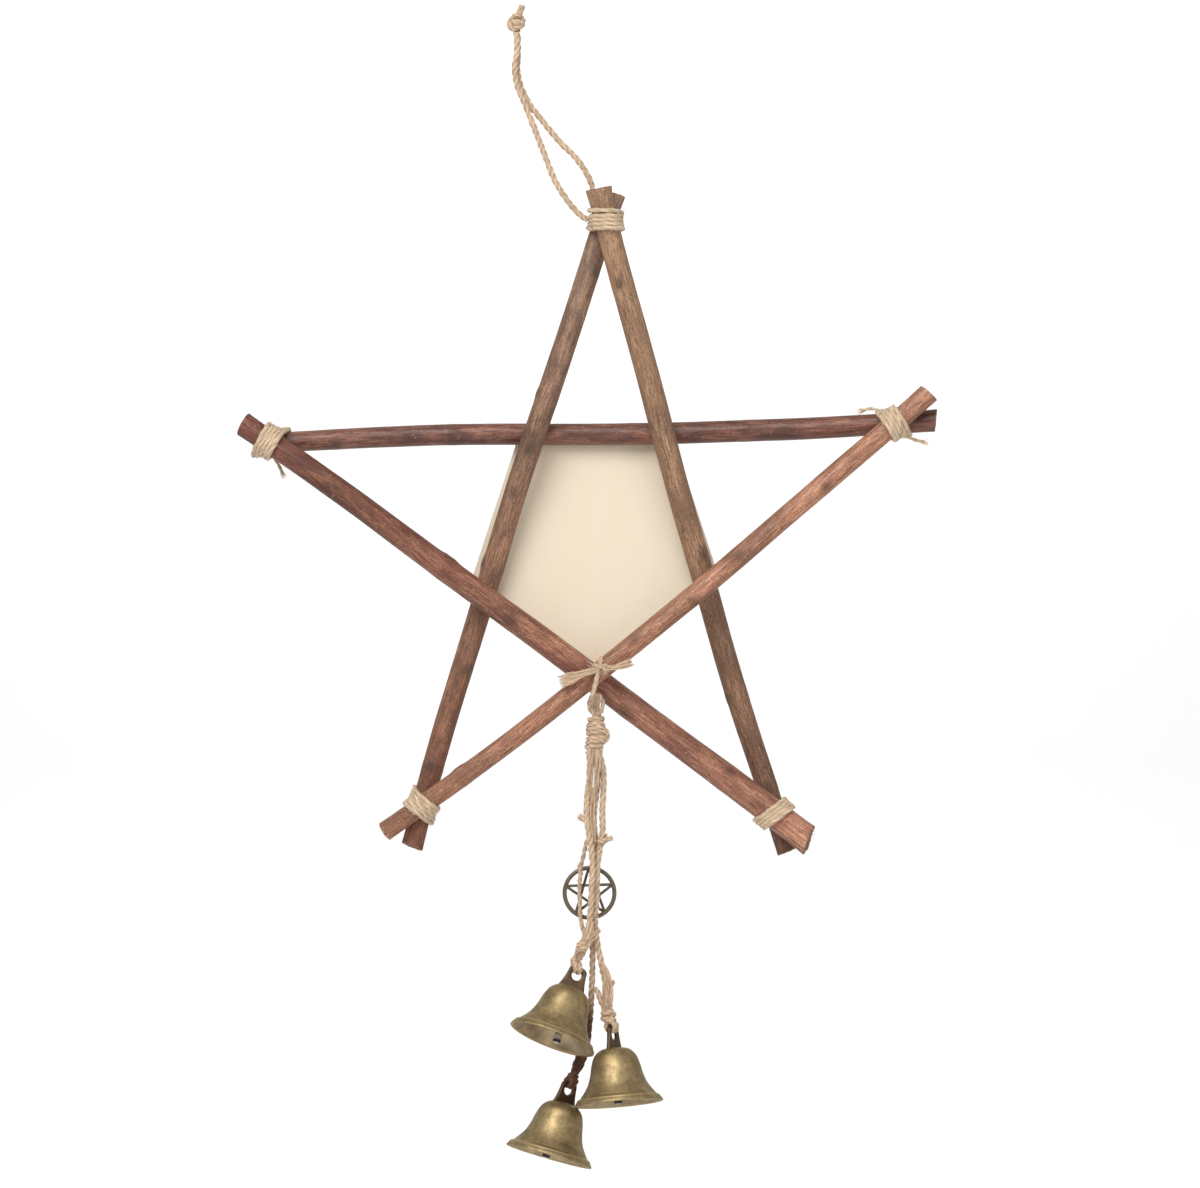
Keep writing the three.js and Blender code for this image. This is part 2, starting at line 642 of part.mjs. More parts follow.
function makeHank() {
  const [topZ, topX] = HANK_SECTIONS[0];
  const centre = new THREE.Vector3(topX, HANK_DEPTH, topZ + HANK_EYE.half_height);
  const [across, up] = [new THREE.Vector3(1, 0, 0), new THREE.Vector3(0, 0, 1)];
  const { half_width: halfWidth, half_height: halfHeight } = HANK_EYE;
  const hook = eye(centre, across, up, halfWidth, halfHeight, TWINE_DIAMETER);
  const rings = HANK_SECTIONS.map(([z, x, halfX, halfY]) => {
    const ring = [];
    for (let s = 0; s < HANK_SIDES; s += 1) {
      const angle = (2 * Math.PI * s) / HANK_SIDES;
      ring.push(new THREE.Vector3(x + halfX * Math.cos(angle), HANK_DEPTH + halfY * Math.sin(angle), z));
    }
    return ring;
  });
  place('hank', join([hook, skin(rings, false)]), FINISHES.jute);
}

// Bells, in a frame with its origin in the ear's hole, its mouth towards -Z and its ear along X

const crownZ = -EAR_HOLE.height;
const rimZ = crownZ - BELL_HEIGHT;

// Wall profile from the crown outside, round the rim and back up inside
function bellBody() {
  const outer = BELL_PROFILE.map(([radius, share]) => new THREE.Vector2(radius, rimZ + share * BELL_HEIGHT));
  const inner = [];
  for (let i = 2; i < outer.length - 1; i += 1) {
    const chord = outer[i + 1].clone().sub(outer[i - 1]);
    const inwards = new THREE.Vector2(-chord.y, chord.x).normalize();
    inner.push(outer[i].clone().addScaledVector(inwards, BELL_WALL));
  }
  const profile = [
    new THREE.Vector2(0, crownZ), ...outer.toReversed(),
    new THREE.Vector2(outer[0].x - BELL_WALL, rimZ), ...inner,
    new THREE.Vector2(0, crownZ - BELL_WALL),
  ];
  const turned = new THREE.LatheGeometry(profile, BELL_SEGMENTS);
  turned.rotateX(Math.PI / 2);
  return bare(turned);
}

// Cast ear: a tapered lug with a round top and the cord's hole
function bellEar() {
  const foot = crownZ - EAR_SINK;
  const top = EAR.height - EAR_HOLE.height;
  const [shoulder, corner] = [EAR.shoulder / 2, EAR.top / 2];
  const shape = new THREE.Shape();
  shape.moveTo(-EAR.base / 2, foot);
  shape.lineTo(EAR.base / 2, foot);
  shape.lineTo(shoulder, top - EAR.drop);
  shape.quadraticCurveTo(corner, top, 0, top);
  shape.quadraticCurveTo(-corner, top, -shoulder, top - EAR.drop);
  shape.closePath();
  const hole = new THREE.Path();
  hole.absarc(0, 0, EAR_HOLE.radius, 0, 2 * Math.PI, true);
  shape.holes.push(hole);
  const options = { depth: EAR.thickness, bevelEnabled: false, curveSegments: 6 };
  const lug = new THREE.ExtrudeGeometry(shape, options);
  lug.rotateX(Math.PI / 2);
  lug.translate(0, EAR.thickness / 2, 0);
  return bare(lug);
}

const X_AXIS = new THREE.Vector3(1, 0, 0);
const Y_AXIS = new THREE.Vector3(0, 1, 0);
const Z_AXIS = new THREE.Vector3(0, 0, 1);

// Staple inside the crown: the clapper's ring hangs in it
const stapleZ = crownZ - BELL_WALL * 0.7;
const staple = () => eye(new THREE.Vector3(0, 0, stapleZ), X_AXIS, Z_AXIS, LINK_RADIUS, LINK_RADIUS,
  2 * LINK_WIRE, LINK_SEGMENTS);

// The staple's upper half stands inside the crown's wall, so it is cut off there
function bellWithStaple() {
  const ring = toSolid(staple());
  const cover = new THREE.BoxGeometry(4 * LINK_RADIUS, 4 * LINK_RADIUS, 4 * LINK_RADIUS);
  cover.translate(0, 0, stapleZ + 2 * LINK_RADIUS);
  const hook = ring.subtract(toSolid(cover));
  return toGeometry(toSolid(bellBody()).add(toSolid(bellEar())).add(hook));
}

function bellMatrix({ hole, lean, tip, turn }) {
  const { degToRad } = THREE.MathUtils;
  const turned = new THREE.Euler(-degToRad(tip), degToRad(lean), degToRad(turn), 'YXZ');
  return new THREE.Matrix4().makeRotationFromEuler(turned).setPosition(...hole);
}

// Clapper: a ring through the staple, a rod, and a round weight whose end is at the tip
function makeClapper(name, bell) {
  const turned = bellMatrix(bell);
  const seat = stapleZ - LINK_RADIUS + 2 * LINK_WIRE + TOUCH + LINK_EASE;
  const pivot = new THREE.Vector3(0, 0, seat - LINK_RADIUS).applyMatrix4(turned);
  const tip = point(bell.clapper);
  const down = tip.clone().sub(pivot).normalize();
  const normal = X_AXIS.clone().transformDirection(turned);
  const across = new THREE.Vector3().crossVectors(down, normal).normalize();
  const ring = eye(pivot, across, down, LINK_RADIUS, LINK_RADIUS, 2 * LINK_WIRE, LINK_SEGMENTS);
  const weightTop = tip.clone().addScaledVector(down, -CLAPPER_WEIGHT.height);
  const ringEdge = pivot.clone().addScaledVector(down, LINK_RADIUS);
  const inWeight = weightTop.clone().addScaledVector(down, CLAPPER_WEIGHT.height / 4);
  const rod = cord([ringEdge, ringEdge.clone().lerp(inWeight, 0.5), inWeight], 2 * CLAPPER_WIRE);
  const weight = new THREE.CylinderGeometry(CLAPPER_WEIGHT.radius, CLAPPER_WEIGHT.radius * 0.9,
    CLAPPER_WEIGHT.height, 8);
  const middle = weightTop.clone().lerp(tip, 0.5);
  const aim = new THREE.Quaternion().setFromUnitVectors(new THREE.Vector3(0, -1, 0), down);
  weight.applyQuaternion(aim);
  weight.translate(middle.x, middle.y, middle.z);
  place(`${name}_bell_clapper`, join([ring, rod, bare(weight)]), FINISHES.steel);
}

// Loop of cord through the ear's hole and over its top bar, in line with the pull of its two strands
const barTop = EAR.height - EAR_HOLE.height;
const hitchHalf = (barTop + CORD_DIAMETER / 2 + TOUCH) / 2 + HITCH_EASE;
const hitchAcross = EAR.thickness / 2 + CORD_DIAMETER / 2 + TOUCH + HITCH_EASE;

function makeBellCord(name, bell) {
  const { down, back, lumps } = BELL_CORDS[name];
  const turned = bellMatrix(bell);
  const across = Y_AXIS.clone().transformDirection(turned);
  const pull = point(down.at(-1)).add(point(back.at(-1))).multiplyScalar(0.5).sub(point(bell.hole));
  const up = pull.addScaledVector(across, -pull.dot(across)).normalize();
  const centre = point(bell.hole).addScaledVector(up, hitchHalf - HITCH_EASE);
  const hitch = eye(centre, across, up, hitchAcross, hitchHalf, HITCH_DIAMETER);
  const knot = centre.clone().addScaledVector(up, hitchHalf + HITCH_KNOT.rise);
  const strands = [down, back].map((points) => cord([...points.map(point), knot], CORD_DIAMETER));
  const tied = lump([...knot, HITCH_KNOT.half_width, HITCH_KNOT.half_width, HITCH_KNOT.half_height]);
  place(`${name}_bell_cord`, join([...strands, hitch, tied, ...lumps.map(lump)]), FINISHES.jute);
}

// Charm

function makeCharm() {
  const { centre, radius, rim, thickness, turn } = CHARM;
  const ringShape = new THREE.Shape();
  ringShape.absarc(0, 0, radius, 0, 2 * Math.PI, false);
  const inside = new THREE.Path();
  inside.absarc(0, 0, radius - rim, 0, 2 * Math.PI, true);
  ringShape.holes.push(inside);
  const options = { depth: thickness, bevelEnabled: false, curveSegments: CHARM_SEGMENTS / 2 };
  const shapes = [new THREE.ExtrudeGeometry(ringShape, options)];
  const pointRadius = radius - rim / 2;
  for (let corner = 0; corner < 5; corner += 1) {
    const [a, b] = [corner, corner + 2].map((k) => Math.PI / 2 + (2 * Math.PI * k) / 5);
    const start = new THREE.Vector2(Math.cos(a), Math.sin(a)).multiplyScalar(pointRadius);
    const end = new THREE.Vector2(Math.cos(b), Math.sin(b)).multiplyScalar(pointRadius);
    const line = end.clone().sub(start);
    const strip = new THREE.BoxGeometry(line.length(), STAR_BAR.width, STAR_BAR.thickness);
    strip.rotateZ(line.angle());
    strip.translate((start.x + end.x) / 2, (start.y + end.y) / 2, thickness / 2);
    shapes.push(strip);
  }
  const casting = join(shapes.map(bare));
  casting.translate(0, 0, -thickness / 2);
  casting.rotateX(Math.PI / 2);
  casting.rotateY(THREE.MathUtils.degToRad(turn));
  casting.translate(...centre);
  place('pentacle_charm', casting, FINISHES.bronze);
}

// The charm's strand, with a turn round the ring's rim where the strand passes it
function makeCharmCord() {
  const { centre, radius, rim, thickness } = CHARM;
  const strandX = CHARM_CORD[3][0];
  const middle = radius - rim / 2;
  const side = (strandX - centre[0]) / middle;
  const outward = new THREE.Vector3(side, 0, Math.sqrt(1 - side * side));
  const grip = new THREE.Vector3(...centre).addScaledVector(outward, middle);
  const halfAcross = rim / 2 + TOUCH + CHARM_HITCH_DIAMETER / 2;
  const halfDepth = thickness / 2 + TOUCH + CHARM_HITCH_DIAMETER / 2;
  const [hitchHalfX, hitchHalfY] = [halfAcross + FACET_ROOM, halfDepth + FACET_ROOM];
  const hitch = eye(grip, outward, Y_AXIS, hitchHalfX, hitchHalfY, CHARM_HITCH_DIAMETER);
  const strand = cord(CHARM_CORD.map(point), STRAND_DIAMETER);
  place('charm_cord', join([strand, hitch]), FINISHES.jute);
}

Object.keys(RODS).forEach(makeRod);
Object.keys(LASHINGS).forEach(makeLashing);
makePlate();
place('loop_knot', join(KNOT_LUMPS.map(lump)), FINISHES.jute);
place('loop_left_strand', cord(LOOP_LEFT.map(point), CORD_DIAMETER), FINISHES.jute);
place('loop_right_strand', cord(LOOP_RIGHT.map(point), CORD_DIAMETER), FINISHES.jute);
makeCentreTie();
makeHank();
for (const [name, bell] of Object.entries(BELLS)) {
  const mesh = place(`${name}_bell`, bellWithStaple(), FINISHES.brass);
  mesh.applyMatrix4(bellMatrix(bell));
  makeClapper(name, bell);
  makeBellCord(name, bell);
}
makeCharm();
makeCharmCord();

export default group;
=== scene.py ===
"""Willow pentagram wall hanging: bark-covered rods lashed with jute, a plywood pentagon, a knotted
hanging loop, and a jute hank with a cast charm and three cast bells. The row frame is in metres:
+X right, +Z up, +Y into the wall, and the origin is the nail under the loop's knot. Lengths below
are in millimetres until a mesh is made."""

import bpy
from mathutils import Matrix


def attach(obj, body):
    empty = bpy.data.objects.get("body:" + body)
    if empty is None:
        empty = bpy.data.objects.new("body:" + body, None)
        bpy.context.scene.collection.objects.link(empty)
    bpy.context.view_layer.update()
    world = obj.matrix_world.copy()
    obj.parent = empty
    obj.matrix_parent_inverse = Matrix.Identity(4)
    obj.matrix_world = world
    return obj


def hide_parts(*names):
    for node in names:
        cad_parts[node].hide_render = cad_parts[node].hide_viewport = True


bl_info = {
    "name": "Willow Star Hanging",
    "version": (1, 0, 0),
    "blender": (4, 5, 0),
    "location": "View3D > Sidebar > Willow Star",
    "description": "Builds a willow pentagram wall hanging with bells over its CAD frame",
    "category": "Object",
}

import math

import bpy
import numpy as np
from bpy.props import FloatProperty, FloatVectorProperty, PointerProperty
from bpy.types import Operator, Panel, PropertyGroup
from mathutils import Vector

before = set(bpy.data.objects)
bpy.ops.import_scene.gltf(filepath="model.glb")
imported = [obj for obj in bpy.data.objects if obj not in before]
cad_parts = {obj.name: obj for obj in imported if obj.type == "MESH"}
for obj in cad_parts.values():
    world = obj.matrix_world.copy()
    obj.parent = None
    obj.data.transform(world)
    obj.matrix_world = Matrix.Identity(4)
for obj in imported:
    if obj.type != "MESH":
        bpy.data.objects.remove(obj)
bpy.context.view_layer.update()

MM = 0.001
TAU = 2 * math.pi

# Sizes shared with the solids

# Rods: ends of each centre line as (x, z), bow and sway sideways, diameters at start, middle, end
RODS = {
    "left_leg": dict(start=(41.6, -67.6), end=(-45.2, -347.6), bow=2.3, sway=-0.4, girth=(9.6, 9.7, 9.1)),
    "right_leg": dict(start=(35.0, -65.5), end=(116.6, -350.0), bow=2.6, sway=-0.35, girth=(9.8, 10.1, 8.9)),
    "crossbar": dict(start=(-113.5, -174.2), end=(180.2, -164.4), bow=0.6, sway=-1.2, girth=(8.6, 9.4, 9.3)),
    "left_diagonal": dict(start=(-117.2, -166.2), end=(125.4, -344.6), bow=-1.2, sway=-0.45,
                          girth=(10.0, 11.0, 12.4)),
    "right_diagonal": dict(start=(176.9, -152.9), end=(-56.5, -341.2), bow=-4.0, sway=0.5,
                           girth=(8.9, 8.6, 8.2)),
}

# Crossings: the rod in front, the rod behind, the depth of the plane between them, the air left
CROSSINGS = {
    "top": dict(front="right_leg", back="left_leg", depth=-3.3, air=0.0),
    "left": dict(front="left_diagonal", back="crossbar", depth=-0.9, air=0.0),
    "right": dict(front="right_diagonal", back="crossbar", depth=0.9, air=0.0),
    "lower_left": dict(front="right_diagonal", back="left_leg", depth=-1.0, air=0.35),
    "lower_right": dict(front="left_diagonal", back="right_leg", depth=4.8, air=0.0),
    "upper_left_inner": dict(front="left_leg", back="crossbar", depth=5.3, air=0.1),
    "upper_right_inner": dict(front="right_leg", back="crossbar", depth=5.3, air=0.8),
    "left_inner": dict(front="left_diagonal", back="left_leg", depth=-0.3, air=0.1),
    "right_inner": dict(front="right_diagonal", back="right_leg", depth=-0.7, air=4.8),
    "lower_inner": dict(front="right_diagonal", back="left_diagonal", depth=-7.1, air=0.2),
}
TOUCH = 0.3

# Lashings: angle of the line that the turns are stacked along, the angle by which the twine's turns lie
# less oblique than the solid's, turns, shift along the line, gap before the last turn, and the paths of the
# twine's cut tails
TURN_PITCH = 2.1
LASHINGS = {
    "top": dict(lean=90, turns=5, shift=-0.6, gap=1.3, tails=[]),
    "left": dict(lean=-36, ease=6, turns=5, shift=0.4, tails=[
        [(-104.6, 6.0, -180.6), (-102.6, 4.6, -183.8), (-100.8, 3.4, -187.4)]]),
    "right": dict(lean=40, ease=-8, turns=5, shift=0.2, tails=[
        [(167.0, 5.6, -170.6), (171.0, 5.0, -172.6), (175.3, 4.4, -173.6)],
        [(156.4, 3.2, -161.0), (152.8, 5.0, -159.2), (148.2, 6.0, -160.2)]]),
    "lower_left": dict(lean=52, turns=5, shift=0.0, tails=[]),
    "lower_right": dict(lean=-54, turns=4, shift=-0.4, tails=[]),
}

# Hanging loop
LOOP_LEFT = [
    (-0.3, -1.6, 2.2), (0.1, -1.7, -5.0), (-0.9, -1.7, -13.0), (0.1, -1.7, -20.5), (3.2, -1.8, -28.0),
    (7.9, -2.2, -40.0), (12.3, -2.6, -51.5), (16.6, -3.1, -62.0), (22.2, -3.7, -70.8), (26.0, -4.0, -75.2),
    (28.3, -4.2, -77.2), (30.4, -4.4, -78.6),
]
LOOP_RIGHT = [
    (0.3, 1.6, 2.2), (0.4, 1.6, -6.0), (0.2, 1.6, -13.5), (1.6, 1.6, -20.5), (5.2, 1.5, -28.0),
    (10.9, 1.4, -35.5), (18.2, 1.3, -44.4), (25.5, 1.2, -51.7), (30.4, 0.9, -59.0), (32.9, 0.7, -66.0),
    (33.2, 0.5, -70.6),
]

# Plywood pentagon: radius of its corners and thickness, and its rings from the front's middle over the cut
# edge to the back's, as how far inside the outline they lie and the share of the half thickness
PLATE_RADIUS = 56.1
PLATE_THICKNESS = 2.0
PLATE_INSET = np.array([55, 40, 25, 12, 4, 0.6, 0.15, 0, 0, 0, 0.15, 0.6, 4, 12, 25, 40, 55])
PLATE_DEPTH = np.array([-1, -1, -1, -1, -1, -1, -1, -0.85, 0, 0.85, 1, 1, 1, 1, 1, 1, 1])

# Centre tie: shift of its ring over the crossing, slack and the way it sags in degrees, how far the ring
# leans sideways for each mm down, and its frayed tails
TIE_SHIFT = 2.0
TIE_SLACK = 5.0
TIE_SAG_FACING = 225.0
TIE_LEAN = 0.24
TIE_TAILS = [
    dict(points=[(35.5, -18.8, -270.9), (27.5, -18.9, -273.4), (17.8, -18.2, -277.2)], width=7.0, count=105),
    dict(points=[(36.5, -18.8, -271.2), (43.5, -18.9, -270.2), (50.4, -18.4, -267.6)], width=4.4, count=60),
]
# Hank: depth, eye, and its core's sections as (height, middle, half width, half depth)
HANK_DEPTH = -9.3
HANK_EYE = dict(x=34.0, z=-286.4, half_width=2.9, half_height=4.2)
HANK_SECTIONS = [
    (-290.6, 34.0, 2.2, 2.0), (-292.6, 34.0, 3.8, 3.0), (-296.0, 33.8, 4.2, 3.6), (-299.0, 34.2, 4.7, 3.9),
    (-301.6, 34.1, 4.5, 3.7), (-304.4, 33.2, 4.2, 3.5), (-307.4, 33.0, 3.9, 3.3),
]

# Bells: wall, outer profile as (radius, share of the height over the rim), ear, wire links, and each bell's
# place and turn with its clapper's tip, how far the clapper reaches past the solid one's tip and how much of
# its end is dark
BELL_WALL = 1.3
BELL_PROFILE = [
    (19.1, 0.0), (18.6, 0.042), (15.6, 0.175), (12.9, 0.342), (11.4, 0.517), (10.4, 0.7), (8.9, 0.858),
    (6.4, 0.958), (3.4, 0.992),
]
BELL_HEIGHT = 24.0
EAR = dict(base=13.4, shoulder=8.0, top=6.2, drop=1.6, height=9.6, thickness=1.6, hole=2.3, hole_height=5.6,
           sink=0.8)
LINK_RADIUS = 3.2
LINK_WIRE = 0.6
LINK_EASE = 0.3
BELLS = {
    "left": dict(hole=(25.6, -4.0, -402.9), lean=21.3, tip=15.5, turn=12, clapper=(17.2, -12.4, -430.2),
                 reach=1.0, dark=1.5),
    "right": dict(hole=(41.3, -3.4, -428.3), lean=-5.0, tip=9.2, turn=62, clapper=(43.4, -7.4, -456.2),
                  reach=1.6, dark=2.6),
    "lowest": dict(hole=(21.9, 1.0, -452.4), lean=16.2, tip=8.3, turn=38, clapper=(12.7, -3.2, -480.0),
                   reach=1.3, dark=1.6),
}

# Bell cords: the strand down from the hank, the return strand, knots as (middle, radius), cut nubs as
# (middle, radius, aim), loose fibres as (points, widths along them, count), and the heights between which
# the lowest one's jute turns dark
BELL_CORDS = {
    "left": dict(
        down=[
            (31.2, -10.6, -307.9), (31.2, -10.6, -318.0), (30.5, -10.6, -323.4), (30.0, -10.6, -330.0),
            (30.2, -10.6, -336.0), (30.9, -10.7, -341.5), (32.0, -10.9, -348.5), (32.5, -10.9, -356.0),
            (32.2, -10.7, -364.0), (31.8, -10.2, -373.0), (31.2, -9.4, -380.0), (29.8, -8.2, -386.0),
            (27.8, -7.0, -390.2), (25.6, -5.4, -394.6),
        ],
        back=[(32.2, -10.0, -382.0), (30.2, -9.2, -388.6), (27.7, -6.6, -394.2)],
        knots=[(28.2, -7.6, -390.0, 1.9)], nubs=[(28.2, -10.6, -335.2, 1.5, (-1.0, -0.1, 0.75))],
        tows=[([(31.9, -10.9, -379.0), (30.2, -10.4, -386.0), (27.2, -8.6, -392.0), (25.6, -6.6, -396.4)],
               (2.6, 5.0, 5.2, 3.6), 70),
              ([(35.6, -8.8, -383.0), (32.6, -10.2, -385.6), (28.8, -10.0, -389.4)], (2.0, 3.6, 3.0), 40),
              ([(33.4, -11.4, -305.5), (33.3, -12.2, -312.0), (32.8, -12.0, -320.0), (31.8, -11.6, -328.0)],
               (4.6, 6.2, 5.2, 2.6), 34),
              ([(32.4, -11.2, -322.0), (31.5, -11.1, -330.0), (31.6, -11.1, -338.0), (32.6, -11.4, -346.0)],
               (2.2, 4.4, 4.6, 3.4), 28)],
    ),
    "right": dict(
        down=[
            (35.6, -9.1, -307.9), (36.8, -9.3, -313.0), (37.3, -9.3, -319.0), (37.0, -9.3, -326.0),
            (36.7, -9.2, -334.0), (36.8, -9.1, -341.0), (35.7, -8.9, -348.0), (34.8, -8.5, -353.0),
            (34.4, -8.1, -361.0), (34.3, -7.8, -369.0), (33.7, -7.4, -377.0), (33.8, -6.8, -383.5),
            (34.4, -6.0, -388.0), (35.4, -5.4, -393.5), (36.3, -5.0, -398.0), (37.6, -4.4, -404.0),
            (39.2, -3.9, -410.0), (39.8, -3.4, -416.0),
        ],
        back=[(33.8, -3.6, -407.8), (35.2, -3.8, -411.4), (37.2, -3.4, -416.4)],
        knots=[(36.9, -9.4, -345.0, 1.6), (39.0, -3.0, -419.4, 2.0)],
        nubs=[(39.2, -9.5, -344.2, 1.2, (1.0, -0.2, 0.3)), (40.6, -3.9, -407.0, 1.1, (0.5, -0.2, 1.0))],
        tows=[([(36.2, -6.4, -397.0), (38.6, -5.6, -403.0), (39.0, -5.2, -409.0), (39.2, -4.8, -414.0),
                (39.5, -4.4, -419.0)], (2.2, 3.2, 5.8, 4.8, 3.6), 60)],
    ),
    "lowest": dict(
        darkening=(-409.0, -422.0),
        down=[
            (33.8, -5.9, -307.9), (34.5, -6.6, -313.0), (34.7, -7.2, -319.0), (34.1, -7.9, -325.0),
            (33.3, -8.2, -330.5), (33.0, -8.1, -335.5), (33.4, -7.3, -341.0), (34.0, -6.1, -347.0),
            (34.4, -5.1, -354.0), (34.3, -4.8, -364.0), (33.8, -4.4, -373.0), (33.0, -3.9, -380.0),
            (32.5, -3.0, -386.0), (32.5, -1.6, -395.0), (32.3, -0.2, -404.0), (31.9, 1.4, -413.0),
            (31.2, 2.6, -424.0), (29.9, 2.9, -434.0), (27.9, 2.4, -441.0),
        ],
        back=[(31.2, 4.4, -418.0), (30.2, 5.0, -426.0), (27.6, 4.4, -435.0), (25.0, 3.2, -442.2)],
        knots=[], nubs=[],
        tows=[([(29.6, 3.4, -431.0), (28.4, 2.6, -436.0), (26.4, 1.4, -441.5), (24.4, -0.4, -446.5)],
               (4.0, 5.4, 5.2, 4.0), 60)],
    ),
}
# Hitches on the bells' ears: slack, lowest and highest middle of the twine's turns over the middle of the
# hole, how far the two turns lie from the ear's middle, how far the knot sits over them, its turns and their
# tilt, and the cords' seeds
HITCH_EASE = 0.35
HITCH_LOW = 1.5
HITCH_HIGH = 5.6
HITCH_SHIFT = 1.15
KNOT_RISE = 0.4
KNOT_TURNS = 1.6
KNOT_TILT = 1.0
CORD_SEED = 50
CORD_SEED_STEP = 10

# Charm, its strand, the strand's root in the bundle and the twine of its hitch
CHARM = dict(centre=(31.2, -0.2, -367.6), radius=11.5, rim=1.6, thickness=1.4, turn=-2.0, bar=1.2)
CHARM_CORD = [
    (29.6, -7.4, -346.6), (28.8, -6.4, -350.5), (27.5, -3.9, -356.0), (27.1, -3.0, -360.0),
    (26.9, -3.0, -365.0), (27.0, -3.0, -371.0), (27.3, -3.2, -377.0), (28.1, -4.0, -382.0),
    (29.0, -5.2, -385.4),
]
CHARM_CORD_ROOT = [(31.3, -9.4, -340.6), (30.7, -8.5, -343.6)]
CHARM_HITCH_DIAMETER = 1.3

# Sizes only the scene has

# Bark nodes and scars of each rod: share of the length, angle round the rod in degrees (0 faces the
# front, 90 the side of the rod's left hand), height, length along and width round, all in mm
BARK_NODES = {
    "left_leg": [(0.39, 5, 0.45, 3.2, 3.0), (0.31, 60, 0.5, 2.6, 2.4), (0.57, 75, 0.7, 3.0, 2.6),
                 (0.73, -20, 0.3, 3.4, 2.6), (0.88, 10, 0.45, 2.4, 2.4), (0.12, -40, 0.4, 2.6, 2.4)],
    "right_leg": [(0.14, 15, 0.4, 3.0, 2.6), (0.55, -35, 0.4, 3.4, 2.8), (0.76, 55, 0.5, 3.0, 2.6),
                  (0.9, -10, 0.35, 2.6, 2.4)],
    "crossbar": [(0.29, -10, 0.4, 2.6, 2.6), (0.55, 20, 0.4, 3.0, 2.6), (0.72, 0, 0.45, 2.8, 2.8),
                 (0.95, 40, 0.5, 2.4, 2.4), (0.12, 30, 0.3, 3.0, 2.4)],
    "left_diagonal": [(0.35, -85, 0.7, 3.6, 2.8), (0.47, 10, 0.35, 3.0, 3.0), (0.68, 40, 0.4, 3.2, 3.0),
                      (0.85, -30, 0.5, 3.0, 2.8), (0.15, 20, 0.3, 3.0, 2.6)],
    "right_diagonal": [(0.36, 5, 0.4, 3.0, 2.6), (0.45, -30, 0.4, 2.6, 2.4), (0.55, 15, 0.35, 3.0, 2.6),
                       (0.86, 80, 0.6, 2.8, 2.4), (0.2, -20, 0.35, 2.8, 2.6)],
}
# Bark of each rod: colours of its lenticels and its weathered patches, roughness, weight of its gloss, and
# tints at its first and its last end
BARKS = {
    "left_leg": dict(fleck="#c98f5c", patch="#75594a", rough=0.5, coat=0.1,
                     start=(1.0, 1.08, 1.12), end=(0.74, 0.52, 0.44)),
    "right_leg": dict(fleck="#cdb694", patch="#97755c", rough=0.48, coat=0.1,
                      start=(1.17, 1.17, 1.13), end=(0.5, 0.4, 0.4)),
    "crossbar": dict(fleck="#c79c84", patch="#5a352d", rough=0.36, coat=0.5,
                     start=(0.95, 0.97, 0.99), end=(0.83, 0.74, 0.7)),
    "left_diagonal": dict(fleck="#d3ab92", patch="#7c4a3d", rough=0.4, coat=0.25,
                          start=(0.5, 0.37, 0.35), end=(1.32, 1.34, 1.34)),
    "right_diagonal": dict(fleck="#e8c8ac", patch="#9a6f55", rough=0.42, coat=0.2,
                           start=(1.0, 0.96, 0.94), end=(0.84, 0.8, 0.76)),
}
# Seeds of the rods, and how far apart their bark patterns lie along the pattern, in mm for each unit of seed
ROD_SEED = 3
ROD_SEED_STEP = 7
BARK_SHIFT = 37.0
# Widening of the rods' bark towards their cut ends: shares of the radius and reach in mm, each (start, end)
FLARES = {"right_leg": (0.17, 0.05), "left_leg": (0.1, 0.05)}
COMMON_FLARE = (0.05, 0.05)
FLARE_REACH = (5.5, 4.0)
# Slant of each rod's cut ends (start, end): mm the cut runs along the rod for each mm across it
CUT_SLANT = {
    "left_leg": (0.12, -0.12), "right_leg": (-0.05, 0.07), "crossbar": (0.1, -0.17),
    "left_diagonal": (0.1, 0.25), "right_diagonal": (0.12, -0.04),
}
# Bell's bead and groove: height, place over the rim and width. Ear: how deep its foot reaches into the
# bell, how far its flanks are hollowed, and the share of its section that the corners' cuts take
BEAD = (0.3, 2.1, 0.42)
GROOVE = (0.14, 3.2, 0.35)
EAR_ROOT = 1.3
EAR_HOLLOW = 1.6
EAR_CUT = 0.16
# How far from its end a cut moves the bark, and the rod whose last end is torn, with its splinters
CUT_REACH = 6.0
TORN_ROD = "left_diagonal"
TORN_FIBRES = dict(count=26, length=1.5, spread=0.6, seed=19, girth=2.8)
# Points along a rod and round it
ROD_ROWS = 420
ROD_COLUMNS = 72
# Waves of the bark: share of the radius, sines, lowest and highest frequency, and how much of the length
# and of the girth they read
BARK_WAVES = ((0.022, 6, 0.03, 0.12, 1.0, 9), (0.014, 8, 0.12, 0.5, 0.4, 5), (0.010, 10, 0.6, 2.2, 0.12, 6))
# Face of a cut, ring by ring from its rounded edge to the pith: share of the radius and height
CUT_INWARD = np.array([0.975, 0.93, 0.8, 0.6, 0.4, 0.2, 0.07])[:, None, None]
CUT_BULGE = np.array([0.16, 0.24, 0.2, 0.12, 0.04, -0.06, -0.25])[:, None, None]

# Lashing twine: points in a turn, share of a turn at which it steps on to the next, how far its path
# wanders and lifts, how deep and over what share of a turn its ends dive, and the lashings' seeds
TURN_POINTS = 130
TURN_STEP = 0.72
TURN_WANDER = 0.28
TURN_LIFT = 0.22
TURN_DIVE = 1.2
DIVE_SHARE = 0.12
LASHING_SEED = 101
LASHING_SEED_STEP = 9

